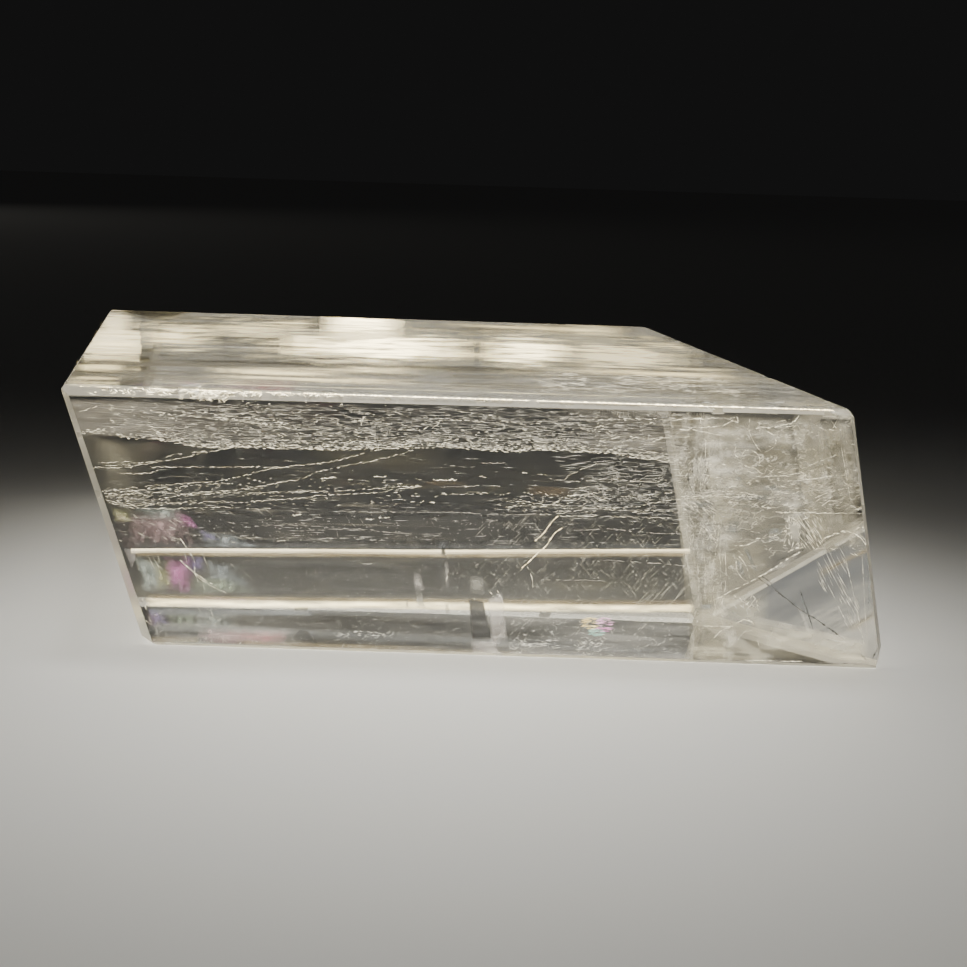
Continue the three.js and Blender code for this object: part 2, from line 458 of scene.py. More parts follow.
class Graph:
    """The node tree of a new material."""

    def __init__(self, name):
        self.material = bpy.data.materials.new(name)
        self.material.use_nodes = True
        self.nodes = self.material.node_tree.nodes
        self.shader = self.nodes["Principled BSDF"]
        self.place = self.nodes.new("ShaderNodeTexCoord")

    def feed(self, socket, value):
        """Links a node's output to a socket, or sets a constant on it."""
        if isinstance(value, bpy.types.NodeSocket):
            self.material.node_tree.links.new(value, socket)
        else:
            socket.default_value = value

    def add(self, kind, values, operation=None):
        """A new node whose inputs get the values of the same names or numbers."""
        node = self.nodes.new("ShaderNode" + kind)
        if operation is not None:
            node.operation = operation
        for key, value in values.items():
            self.feed(node.inputs[key], value)
        return node

    def math(self, operation, first, second=0.0):
        return self.add("Math", {0: first, 1: second}, operation).outputs[0]

    def dot(self, coordinate, vector):
        values = {0: self.place.outputs[coordinate], 1: vector}
        return self.add("VectorMath", values, "DOT_PRODUCT").outputs["Value"]

    def grain(self, scale, detail, roughness=0.5):
        """A noise over the object's own place, with a scale for each axis."""
        stretch = self.add("Mapping", {"Vector": self.place.outputs["Object"], "Scale": scale})
        values = {"Vector": stretch.outputs["Vector"], "Scale": 1.0, "Detail": detail,
                  "Roughness": roughness}
        return self.add("TexNoise", values).outputs["Fac"]

    def toned(self, grain, colours):
        """A colour output that wanders between two tones with a noise."""
        ramp = self.add("ValToRGB", {"Fac": grain})
        for element, position, colour in zip(ramp.color_ramp.elements, TONE_STOPS, colours):
            element.position = position
            element.color = (*colour, 1)
        return ramp.outputs["Color"]

    def mixed(self, share, first, second):
        return self.add("MixShader", {0: share, 1: first, 2: second}).outputs[0]


def glass_material(name):
    """Clear calcite: polished faces, a wavier top and ground, frosted bevels and nicks.

    Lamps shine through it to what lies inside.
    """
    graph = Graph(name)
    glass = graph.shader
    glass.inputs["Base Color"].default_value = (1, 1, 1, 1)
    glass.inputs["IOR"].default_value = CALCITE_IOR
    glass.inputs["Transmission Weight"].default_value = 1.0

    polished = 0.0
    for side, opposite in (("top", "bottom"), ("back", "front"), ("right", "left")):
        middle = (REACH[side] - REACH[opposite]) / 2
        half = (REACH[side] + REACH[opposite]) / 2
        out = graph.math("ABSOLUTE", graph.math("SUBTRACT", graph.dot("Object", NORMALS[side]), middle))
        on_face = graph.math("GREATER_THAN", out, half - NICK_DEPTH)
        aligned = graph.math("ABSOLUTE", graph.dot("Normal", NORMALS[side]))
        aligned = graph.math("GREATER_THAN", aligned, PARALLEL)
        polished = graph.math("MAXIMUM", polished, graph.math("MULTIPLY", aligned, on_face))
    ground = graph.math("SUBTRACT", 1.0, polished)
    upward = graph.math("GREATER_THAN", graph.dot("Normal", NORMALS["top"]), PARALLEL)
    on_top = graph.math("MULTIPLY", upward, polished)
    rough = graph.math("MULTIPLY", ground, GROUND_ROUGHNESS)
    rough = graph.math("ADD", rough, graph.math("MULTIPLY", on_top, TOP_ROUGHNESS))
    graph.feed(glass.inputs["Roughness"], rough)

    relief = 0.0
    for scale, detail, where, height in (
        (WAVE_SCALE, 2.0, on_top, WAVE_HEIGHT),
        (COMB_SCALE, 1.0, on_top, COMB_HEIGHT),
        (PIT_SCALE, 0.0, ground, PIT_HEIGHT),
    ):
        swell = graph.math("MULTIPLY", graph.grain(scale, detail), where)
        relief = graph.math("ADD", relief, graph.math("MULTIPLY", swell, height))
    bump = graph.add("Bump", {"Strength": 1.0, "Distance": 1.0, "Height": relief})
    graph.feed(glass.inputs["Normal"], bump.outputs["Normal"])

    frost = graph.add("BsdfDiffuse", {"Color": FROST_COLOUR})
    frosted = graph.mixed(graph.math("MULTIPLY", ground, GROUND_FROST), glass.outputs[0], frost.outputs[0])
    path = graph.add("LightPath", {})
    clear = graph.add("BsdfTransparent", {"Color": (LAMP_SHARE, LAMP_SHARE, LAMP_SHARE, 1)})
    surface = graph.mixed(path.outputs["Is Shadow Ray"], frosted, clear.outputs[0])
    output = graph.nodes["Material Output"]
    graph.feed(output.inputs["Surface"], surface)
    absorb = graph.add("VolumeAbsorption", {"Color": ABSORB_COLOUR, "Density": ABSORB_DENSITY})
    graph.feed(output.inputs["Volume"], absorb.outputs[0])
    return graph.material


def solid_material(name, colours, roughness=0.4, scale=400.0):
    """An opaque inclusion with a little variation in its tone."""
    graph = Graph(name)
    graph.shader.inputs["Roughness"].default_value = roughness
    values = {"Vector": graph.place.outputs["Object"], "Scale": scale, "Detail": 1.0}
    grain = graph.add("TexNoise", values).outputs["Fac"]
    graph.feed(graph.shader.inputs["Base Color"], graph.toned(grain, colours))
    return graph.material


def film_material(name, colours, alpha, scale, low=0.35, high=0.65, detail=3.0, vein=None):
    """A patchy see-through film. `alpha` is how much it hides where it is thickest.

    It shows where its noise lies above `low`, and is thickest above `high`. With a `vein`
    width it shows only as wandering hairlines.
    """
    graph = Graph(name)
    graph.shader.inputs["Roughness"].default_value = FILM_ROUGHNESS
    grain = graph.grain(scale, detail, FILM_GRAIN_ROUGHNESS)
    graph.feed(graph.shader.inputs["Base Color"], graph.toned(grain, colours))
    if vein is not None:
        grain = graph.math("ABSOLUTE", graph.math("SUBTRACT", grain, NOISE_MIDDLE))
        low, high = vein, 0.0
    span = graph.add("MapRange", {"Value": grain, "From Min": low, "From Max": high,
                                  "To Min": 0.0, "To Max": alpha})
    fade = graph.add("Attribute", {})
    fade.attribute_name = "fade"
    shown = graph.math("MULTIPLY", span.outputs["Result"], fade.outputs["Fac"])
    graph.feed(graph.shader.inputs["Alpha"], shown)
    return graph.material


CAD_SLAB.data.materials.clear()
CAD_SLAB.data.materials.append(glass_material("spar_glass"))

# Each film's two tones, how much it hides, its grain along each axis, the noise at which it
# begins to show and is thickest, and the noise's detail.
FILM_LOOKS = {
    "veil_haze": (((0.72, 0.66, 0.56), (0.98, 0.92, 0.82)), 0.42, (50, 90, 300), 0.2, 0.5),
    "veil_crumple": (((0.62, 0.58, 0.50), (1.0, 0.96, 0.88)), 0.33, (260, 260, 900), 0.52, 0.74, 4.0),
    # veil_dark: near-black streaks of painted shade in the veil.
    "veil_dark": (((0.02, 0.02, 0.02), (0.05, 0.045, 0.04)), 0.75, (70, 120, 2200), 0.50, 0.60, 4.0),
    "front_dust": (((0.60, 0.58, 0.52), (0.95, 0.93, 0.86)), 0.12, (1800, 1800, 1800), 0.60, 0.76, 2.0),
    "front_streaks": (((0.34, 0.31, 0.24), (0.80, 0.75, 0.62)), 0.32, (90, 90, 3600), 0.60, 0.72, 4.0),
    # fringe_amber, fringe_blue and fringe_pale: painted colour fringes and painted glow along the lines.
    "fringe_amber": (((0.36, 0.28, 0.14), (0.62, 0.52, 0.32)), 0.75, (60, 60, 60), 0.2, 0.45),
    "fringe_blue": (((0.42, 0.46, 0.52), (0.60, 0.64, 0.70)), 0.26, (60, 60, 60), 0.2, 0.5),
    "fringe_pale": (((0.92, 0.84, 0.62), (1.0, 0.96, 0.78)), 1.0, (60, 60, 200), 0.1, 0.4),
    # dim and deep_dim: dark films of painted shade over the inside of the slab.
    "dim": (((0.006, 0.006, 0.006), (0.02, 0.02, 0.018)), 0.55, (60, 60, 400), 0.1, 0.5),
    "deep_dim": (((0.004, 0.004, 0.004), (0.014, 0.014, 0.013)), 0.98, (60, 60, 400), 0.0, 0.25),
    # A near-black film of painted shade, for the dark plug and the dark crack.
    "smoke": (((0.004, 0.004, 0.004), (0.03, 0.03, 0.028)), 0.95, (200, 200, 200), 0.1, 0.4),
    "grey_film": (((0.30, 0.29, 0.26), (0.46, 0.45, 0.40)), 0.7, (200, 200, 500), 0.1, 0.5),
    "lilac_film": (((0.72, 0.66, 0.64), (0.95, 0.90, 0.87)), 0.38, (120, 120, 200), 0.2, 0.55),
    "low_haze": (((0.80, 0.81, 0.80), (1.0, 0.98, 0.94)), 0.22, (60, 60, 900), 0.30, 0.70),
    "mist": (((0.66, 0.68, 0.68), (0.90, 0.92, 0.92)), 0.05, (50, 50, 700), 0.35, 0.70),
    "brown_haze": (((0.50, 0.44, 0.30), (0.80, 0.72, 0.54)), 0.13, (60, 60, 1900), 0.55, 0.70),
    "orange_film": (((0.50, 0.30, 0.12), (0.70, 0.50, 0.26)), 0.22, (90, 90, 900), 0.40, 0.65),
    "beige_haze": (((0.72, 0.65, 0.46), (1.0, 0.93, 0.71)), 0.34, (90, 90, 160), 0.25, 0.62),
    "beige_streaks": (((0.80, 0.76, 0.64), (1.0, 0.97, 0.88)), 0.30, (900, 900, 90), 0.48, 0.62),
    "cloud": (((0.78, 0.74, 0.64), (1.0, 0.97, 0.88)), 0.30, (150, 150, 220), 0.42, 0.60, 4.0),
    # A dark grey film of painted shade in the dents of the crumpled end.
    "slate_film": (((0.16, 0.18, 0.19), (0.28, 0.30, 0.30)), 0.60, (200, 200, 300), 0.2, 0.5),
    "pale_pane": (((0.84, 0.80, 0.68), (1.0, 0.97, 0.88)), 0.30, (160, 160, 160), 0.2, 0.5),
    # Cream films just under the top face: a painted reflection in it.
    "top_cloud": (((0.80, 0.68, 0.42), (1.0, 0.92, 0.66)), 0.8, (40, 240, 40), 0.44, 0.60, 4.0),
    # Grey films just under the top face: painted shade in its reflection.
    "top_grey": (((0.05, 0.047, 0.040), (0.17, 0.155, 0.125)), 0.85, (45, 420, 40), 0.43, 0.56, 4.0),
    "chip_film": (((0.60, 0.59, 0.55), (1.0, 1.0, 0.98)), 0.85, (700, 700, 900), 0.40, 0.60),
}
# Films that show as hairlines: the same, with the hairlines' width at the end.
VEIN_LOOKS = {
    "veil_veins": (((0.70, 0.66, 0.56), (1.0, 0.97, 0.88)), 0.85, (150, 150, 1300), 0.018),
    "front_crumples": (((0.55, 0.52, 0.46), (1.0, 0.97, 0.90)), 0.65, (420, 420, 1400), 0.022),
    "right_veins": (((0.75, 0.70, 0.58), (1.0, 0.97, 0.88)), 0.5, (190, 190, 330), 0.016),
    # right_folds: dark hairlines of painted shade along the folds of the crumpled end.
    "right_folds": (((0.10, 0.10, 0.09), (0.26, 0.25, 0.21)), 0.45, (130, 130, 260), 0.024),
    "top_veins": (((0.80, 0.76, 0.66), (1.0, 0.98, 0.92)), 0.9, (160, 330, 40), 0.03),
}
# Rainbow colours of thin cracks.
TINTS = {
    "yellow_green": ((0.62, 0.66, 0.22), (0.86, 0.82, 0.48)),
    "pink": ((0.42, 0.24, 0.28), (0.72, 0.50, 0.52)),
    "magenta": ((0.80, 0.10, 0.50), (0.95, 0.35, 0.80)),
    "violet": ((0.26, 0.14, 0.62), (0.50, 0.40, 0.85)),
    "green": ((0.36, 0.52, 0.36), (0.62, 0.74, 0.58)),
    "sea": ((0.48, 0.60, 0.58), (0.70, 0.78, 0.74)),
    "slate": ((0.40, 0.48, 0.54), (0.58, 0.66, 0.72)),
    "red": ((0.42, 0.08, 0.10), (0.62, 0.24, 0.26)),
}
look = {name: film_material(name, *values) for name, values in FILM_LOOKS.items()}
for name, (colours, alpha, scale, vein) in VEIN_LOOKS.items():
    look[name] = film_material(name, colours, alpha, scale, detail=4.0, vein=vein)
for name, colours in TINTS.items():
    look[name] = film_material(f"tint_{name}", colours, 0.62, (900, 900, 260), 0.30, 0.70)

sparkle = solid_material("spar_sparkle", ((0.34, 0.32, 0.27), (1.0, 0.98, 0.92)), 0.3, 1500.0)
scratch = solid_material("spar_scratch", ((0.30, 0.29, 0.26), (0.85, 0.83, 0.76)), 0.4, 900.0)
fibre = solid_material("spar_fibre", ((0.10, 0.09, 0.08), (0.50, 0.47, 0.41)), 0.5)
shade = solid_material("spar_shade", ((0.012, 0.012, 0.011), (0.05, 0.048, 0.042)), 0.5)
cream = solid_material("spar_cream", ((0.80, 0.72, 0.54), (0.98, 0.92, 0.76)), 0.4, 120.0)

# ---- The veil of fine cracks under the front face's top edge ----

VEIL_BORDER = [(80, 433), (100, 433), (132, 438), (157, 439), (177, 443), (207, 447), (237, 447),
               (282, 448), (318, 449), (350, 449), (417, 447), (447, 447), (477, 449), (513, 451),
               (537, 449), (570, 451), (590, 452), (612, 453), (640, 458), (676, 462)]
BEVEL_LINE = [(66, 397), (300, 403), (560, 407), (705, 411), (855, 417)]
VEIL_UPPER = [(82, 424), (200, 430), (420, 433), (560, 430), (685, 440)]
VEIL_FILMS = [
    ("veil_left_haze", ((66, 398), (330, 404), (300, 447), (80, 436)),
     "veil_haze", 24, (60, 14), (0.02, 0.1), 1,
     {"ragged": 0.1, "strength": ((66, 0.5), (130, 0.45), (180, 0.22), (330, 0.03))}),
    ("veil_band", between(VEIL_UPPER, VEIL_BORDER),
     "veil_crumple", 21, (150, 10), (0.03, 0.25), 2,
     {"crumple": 0.8, "strength": ((82, 0.46), (300, 0.46), (560, 1))}),
    ("veil_right_haze", ((560, 408), (680, 410), (682, 452), (590, 452)),
     "veil_haze", 27, (40, 14), (0.25, 0.15), 3, {"strength": ((560, 0.2), (690, 0.8))}),
    # Painted shade: near-black streaks over the veil's upper part.
    ("veil_dark_streaks", ((250, 404), (690, 409), (690, 436), (250, 432)),
     "veil_dark", 14, (120, 10), (0.15, 0.1), 4),
    ("veil_hairlines", between([(66, 398), (705, 412)], VEIL_BORDER),
     "veil_veins", 17, (150, 14), (0.06, 0.1), 5,
     {"crumple": 0.5, "strength": ((90, 0.1), (180, 0.6), (420, 0.8), (PICTURE, 1))}),
]
films(VEIL_FILMS)

fibres = Slivers(21)
sparks = Slivers(22)
rnd = fibres.random
# The veil's fibres fall to the right at its left end, and are level from VEIL_LEVEL on.
VEIL_FALL = 0.07
VEIL_LEVEL = 420
VEIL_RIGHT = 690


def veil_sliver(slivers, px, py, length, fall, lean, width, depth):
    """A flat sliver in the veil, at random within its half length, width and depth."""
    half = rnd.uniform(*length)
    rise = half * (fall + rnd.gauss(0, lean))
    thick = rnd.uniform(*width) * MM
    deep = rnd.uniform(*depth)
    slivers.add(inside(px - half, py - rise, deep), inside(px + half, py + rise, deep),
                Vector((0, 0, thick)), Vector((0, thick, 0)))


# Count, leftmost px, a power that crowds them towards the veil's foot where it is below 1,
# half length, lean, half thickness, depth.
VEIL_CROWDS = [
    (fibres, 1700, 120, 0.9, (1.5, 9), 0.05, (0.012, 0.032), (6, 36)),
    (fibres, 160, 84, 0.9, (10, 26), 0.015, (0.012, 0.028), (6, 36)),
    (sparks, 900, 110, 0.55, (0.5, 3), 0.2, (0.015, 0.05), (6, 30)),
]
for slivers, count, left, crowding, length, *rest in VEIL_CROWDS:
    for _ in range(count):
        px = rnd.uniform(left, VEIL_RIGHT)
        top, low = level(BEVEL_LINE, px) + 1, level(VEIL_BORDER, px)
        fall = VEIL_FALL * max(0.0, 1 - px / VEIL_LEVEL)
        veil_sliver(slivers, px, top + (low - top) * rnd.random() ** crowding, length, fall, *rest)
BORDER_SPARKS = 700
BORDER_REACH = 9
BORDER_CROWDING = 1.6
for _ in range(BORDER_SPARKS):
    px = rnd.uniform(150, 680)
    py = level(VEIL_BORDER, px) + 1 - BORDER_REACH * rnd.random() ** BORDER_CROWDING
    veil_sliver(sparks, px, py, (0.5, 3.5), 0, 0.2, (0.015, 0.055), (14, 26))
strand(sparks, VEIL_BORDER, 20, 0.06, gap=0.35, step=2.5, jitter=1.3)
strand(sparks, shifted(VEIL_BORDER, -2), 22, 0.05, gap=0.5, step=3, jitter=2)

# Curls, flecks and a comb of upright fibres in the veil.
VEIL_STRANDS = [
    [(150, 411), (190, 416), (230, 419), (262, 424), (300, 430)],
    [(170, 410), (215, 414), (255, 419), (290, 424)],
    [(205, 418), (232, 420), (268, 425)],
    [(330, 423), (334, 418), (339, 420), (337, 425), (345, 424)],
    [(352, 421), (366, 420), (375, 416)],
    [(360, 422), (364, 417), (361, 425)],
    [(432, 428), (438, 424), (441, 419), (446, 427)],
    [(445, 420), (470, 421), (500, 423), (505, 428)],
    [(500, 421), (530, 424), (545, 420)],
    [(400, 430), (420, 430), (428, 427)],
    [(455, 410), (475, 414), (500, 417)],
    [(395, 412), (405, 415)],
    [(560, 419), (600, 420), (640, 419), (668, 420), (690, 419), (735, 418)],
    [(577, 424), (590, 432), (600, 426), (612, 433)],
    [(640, 425), (655, 423), (668, 426)],
    [(600, 441), (625, 437), (650, 439), (672, 437)],
    [(640, 447), (655, 441), (664, 436)],
    [(80, 412), (92, 408), (98, 406)],
    [(82, 431), (97, 431), (110, 428), (120, 427)],
    [(300, 429), (318, 429)],
    [(325, 429), (334, 429)],
    [(305, 449), (322, 449)],
]
for points in VEIL_STRANDS:
    strand(sparks, points, 12, 0.045, gap=0.25, step=2.5, jitter=0.7)
COMB_START, COMB_END, TOOTH_PITCH = 588, 706, 2.6
COMB_LOW = (413, 419)
COMB_DEPTH = 9
px = COMB_START
while px < COMB_END:
    low = rnd.uniform(*COMB_LOW)
    top = level(BEVEL_LINE, px) + rnd.uniform(0.5, 2)
    width = rnd.uniform(0.02, 0.05) * MM
    foot = inside(px + rnd.uniform(-0.4, 0.4), low, COMB_DEPTH)
    fibres.add(inside(px, top, COMB_DEPTH), foot, Vector((width, 0, 0)), Vector((0, width, 0)))
    px += TOOTH_PITCH * rnd.uniform(0.7, 1.3)
fibres.piece("veil_fibres", fibre)
sparks.piece("veil_sparks", sparkle)

# ---- Cleavage lines across the front ----

# At the left most lines come in pairs, as calcite doubles what lies in it.
LONG_LINES = [
    [(93, 468), (125, 464), (153, 462), (177, 454), (207, 451)],
    [(125, 466), (153, 463), (180, 458), (207, 452), (237, 447)],
    [(98, 463), (132, 462)],
    [(93, 468), (133, 467)],
    [(150, 467), (207, 467), (260, 467), (285, 467)],
    [(117, 473), (140, 474), (158, 471)],
    [(102, 491), (140, 487), (187, 483), (210, 482), (230, 479), (243, 476), (262, 471), (285, 467),
     (307, 465), (330, 462), (355, 456), (370, 452), (393, 448), (407, 447)],
    [(104, 494), (150, 489), (190, 486), (230, 483)],
    [(167, 500), (177, 496), (203, 492), (237, 490), (257, 487), (277, 483), (300, 479), (313, 474),
     (328, 469), (350, 465), (372, 461), (390, 457), (407, 452), (420, 448)],
    [(107, 500), (130, 504), (167, 503), (203, 502), (243, 502), (277, 500), (303, 498), (322, 495),
     (353, 494), (380, 492), (407, 488), (423, 486)],
    [(105, 496), (132, 494), (160, 492), (185, 495), (210, 494), (243, 493), (300, 492), (342, 491),
     (383, 488), (420, 486)],
    [(112, 504), (140, 506), (170, 504), (200, 503)],
    [(123, 507), (160, 509), (220, 507), (233, 508)],
    [(245, 509), (270, 509)],
    [(435, 497), (445, 494), (468, 494), (488, 493)],
    [(510, 502), (528, 502), (547, 505), (567, 506)],
    [(540, 515), (560, 513), (595, 508), (633, 507), (670, 500), (698, 498), (715, 496)],
    [(560, 516), (627, 517), (683, 519)],
    [(540, 507), (552, 504), (565, 497), (582, 495), (602, 492)],
    [(641, 499), (655, 500)],
    [(632, 512), (648, 512)],
    [(545, 475), (552, 479), (565, 481), (580, 482)],
    [(562, 483), (567, 477), (580, 470), (597, 464)],
    [(586, 481), (610, 479), (640, 482), (668, 480)],
    [(600, 498), (640, 496), (672, 493)],
    [(575, 489), (592, 487), (612, 491)],
    [(604, 510), (660, 511), (686, 513)],
    [(680, 497), (714, 494), (745, 495)],
]
FAINT_LINES = [
    [(340, 511), (367, 512), (417, 512), (467, 513), (503, 515), (530, 514), (570, 511)],
    [(300, 531), (352, 529), (400, 533), (440, 534)],
    [(255, 526), (292, 525), (340, 528)],
    [(300, 540), (340, 538), (385, 541)],
    [(570, 531), (610, 529), (650, 533), (690, 534)],
    [(440, 487), (475, 486), (500, 486)],
    [(450, 466), (475, 467)],
    [(480, 463), (505, 463)],
    [(575, 463), (605, 461)],
    [(118, 497), (150, 500), (182, 499)],
    [(600, 560), (650, 563), (690, 566)],
    [(360, 563), (372, 564)],
    [(540, 580), (580, 580), (605, 581)],
]
BRIGHT_FLECKS = [(329, 478, 16), (380, 477, 12), (445, 480, 24), (483, 477, 6), (413, 502, 4),
                 (422, 502, 4), (432, 502, 5), (369, 519, 6), (381, 518, 4), (387, 518, 5),
                 (297, 515, 8), (281, 541, 8), (467, 487, 5), (525, 473, 5), (540, 474, 5),
                 (556, 502, 6), (574, 495, 7), (602, 500, 6)]
LINE_FIELDS = [
    (170, (105, 190), (487, 503), (1, 6), (-25, 25), (12, 20), (0.010, 0.035)),
    (160, (190, 420), (478, 506), (1, 6), (-12, 12), (12, 20), (0.012, 0.04)),
    (120, (495, 600), (492, 512), (1, 5), (-25, 25), (10, 20), (0.015, 0.05)),
]

lines = Slivers(11)
for points in LONG_LINES:
    strand(lines, points, 16, 0.042, gap=0.16, step=2.5, jitter=0.7)
for px, py, length in BRIGHT_FLECKS:
    strand(lines, [(px - length / 2, py), (px + length / 2, py)], 12, 0.09, gap=0, step=2.5, jitter=0.6)
scatter_fields(lines, LINE_FIELDS)
lines.piece("cleavage_lines", sparkle)

strand_piece("faint_lines", fibre, 12, FAINT_LINES, 18, 0.06, gap=0.2, step=3, jitter=0.5)

# Two diagonal cracks that catch the light.
DIAGONAL_CRACKS = [
    [(558, 516), (551, 523), (546, 530), (541, 536), (535, 541)],
    [(562, 528), (556, 532), (552, 537), (546, 546), (537, 554), (530, 561), (522, 568)],
    [(552, 537), (549, 541)],
]
strand_piece("diagonal_cracks", cream, 13, DIAGONAL_CRACKS, 9, 0.085, gap=0, step=2.5, jitter=0.3)

# Short dashes, dust and crossed scratches.
specks = Slivers(31)
DASHES_RIGHT = 560
GAP_MIDDLE = 468
GAP_REACH = 42
GAP_SHARE = 0.15


def in_band(px, py):
    """True where the photograph has dashes: fewer in the clear gap under the veil."""
    if px > DASHES_RIGHT:
        return True
    away = min(1, abs(py - GAP_MIDDLE) / GAP_REACH)
    return specks.random.random() < GAP_SHARE + (1 - GAP_SHARE) * away


SPECK_FIELDS = [
    (560, (115, 690), (455, 545), (2, 16), (-5, 3), (5, 60), (0.010, 0.032), in_band),
    (200, (560, 690), (455, 520), (3, 22), (-6, 8), (5, 50), (0.012, 0.036)),
    (1300, (115, 690), (510, 655), (0.8, 2.2), (-60, 60), (3, 50), (0.02, 0.05)),
    (220, (510, 692), (612, 656), (2, 7), (-60, 60), (2, 6), (0.015, 0.04)),
    (160, (150, 460), (610, 650), (2, 6), (-30, 30), (2, 6), (0.012, 0.03)),
    (60, (510, 530), (638, 656), (2, 7), (-50, 50), (2, 3), (0.02, 0.05)),
    (60, (578, 602), (638, 655), (2, 7), (-50, 50), (2, 3), (0.02, 0.05)),
    (40, (336, 392), (631, 638), (2, 7), (-12, 12), (3, 4), (0.02, 0.05)),
    (30, (520, 560), (640, 648), (3, 12), (-8, 8), (2, 4), (0.02, 0.05)),
]
scatter_fields(specks, SPECK_FIELDS)
specks.piece("specks", sparkle)

FRONT_FILMS = [
    ("front_dust", ((118, 532), (694, 534), (690, 658), (152, 646)),
     "front_dust", 2, (60, 20), (0.03, 0.03), 51, {"crumple": 0.1}),
    ("front_streaks", ((100, 455), (690, 462), (694, 548), (124, 547)),
     "front_streaks", 32, (80, 14), (0.03, 0.1), 52,
     {"strength": ((100, 1), (290, 0.8), (340, 0.6), (690, 0.9))}),
    ("front_crumples", ((610, 452), (688, 458), (697, 522), (545, 508)),
     "front_crumples", 14, (40, 20), (0.25, 0.15), 53),
    ("left_crumples", ((100, 486), (250, 480), (200, 504), (106, 506)),
     "front_crumples", 14, (40, 12), (0.12, 0.2), 54, {"strength": ((100, 0.5), (250, 0.3))}),
]
films(FRONT_FILMS)

scratches = Slivers(32)
SCRATCH_FIELDS = [
    (230, (480, 692), (518, 622), (4, 18), (38, 56), (3, 9), (0.006, 0.017)),
    (210, (480, 692), (518, 622), (3, 12), (-56, -38), (3, 9), (0.006, 0.016)),
    (260, (300, 692), (510, 655), (2, 9), (-180, 180), (3, 9), (0.006, 0.017)),
    (16, (630, 690), (570, 635), (20, 50), (42, 52), (3, 9), (0.010, 0.022)),
    (30, (120, 300), (508, 545), (4, 14), (-40, -10), (3, 9), (0.015, 0.03)),
    (24, (130, 260), (555, 640), (6, 20), (-80, -30), (3, 9), (0.015, 0.03)),
]
scatter_fields(scratches, SCRATCH_FIELDS)
scratches.piece("scratches", scratch)

# ---- The far bottom edge shows twice: as the bevel itself, and as this line above it, a painted image of the edge ----

SECOND_LINE = [(131, 551), (170, 550.5), (250, 551), (330, 551.3), (410, 552), (490, 552), (570, 551.5),
               (640, 551.2), (690, 551.2)]
FIRST_LINE = [(145, 602), (250, 604), (370, 605), (490, 606.5), (570, 608), (640, 608.5), (695, 608)]
SECOND_DEPTH = 24
# A cream ribbon inside the slab: a painted image of the far bottom edge.
ribbon("second_edge", SECOND_LINE, 2.3, cream, SECOND_DEPTH)

# Amber and blue fringes and pale glows along both lines: painted light.
FRINGES = [
    ("fringe_second_low", between(shifted(SECOND_LINE, 0.5), shifted(SECOND_LINE, 6.5)),
     "fringe_amber", 22, (90, 6), (0.02, 0.5), 11, {"ragged": 0.2}),
    ("fringe_second_high", between(shifted(SECOND_LINE, -8), shifted(SECOND_LINE, -2)),
     "fringe_blue", 22, (90, 6), (0.05, 0.6), 12, {"ragged": 0.2, "strength": ((131, 0.5), (690, 0.5))}),
    ("fringe_first_high", between(shifted(FIRST_LINE, -9), shifted(FIRST_LINE, -1)),
     "fringe_amber", 60, (90, 6), (0.02, 0.5), 13, {"ragged": 0.2}),
    ("fringe_first_low", between(shifted(FIRST_LINE, 2), shifted(FIRST_LINE, 12)),
     "fringe_blue", 60, (90, 6), (0.02, 0.5), 14, {"ragged": 0.2}),
    ("glow_first", between(shifted(FIRST_LINE, -4.5), shifted(FIRST_LINE, 4.5)),
     "fringe_pale", 22, (90, 6), (0.02, 0.45), 15, {"ragged": 0.2}),
]
films(FRINGES)

# Dark films of painted shade over the inside between and under the lines, and a pale blue painted glow
# under the first line's left part.
DIM_FILMS = [
    ("dim_between", ((215, 561), (530, 561), (530, 600), (215, 597)),
     "dim", 45, (80, 10), (0.05, 0.15), 16, {"strength": ((215, 0.3), (280, 1), (430, 0.9), (530, 0.2))}),
    ("dim_band", ((120, 500), (600, 502), (600, 556), (128, 555)),
     "deep_dim", 40, (80, 10), (0.05, 0.3), 17, {"strength": ((120, 0.3), (280, 1), (480, 1), (600, 0.5))}),
    ("glow_low_left", ((146, 608), (314, 609), (314, 617), (150, 616)),
     "fringe_blue", 24, (60, 6), (0.02, 0.3), 18),
]
films(DIM_FILMS)

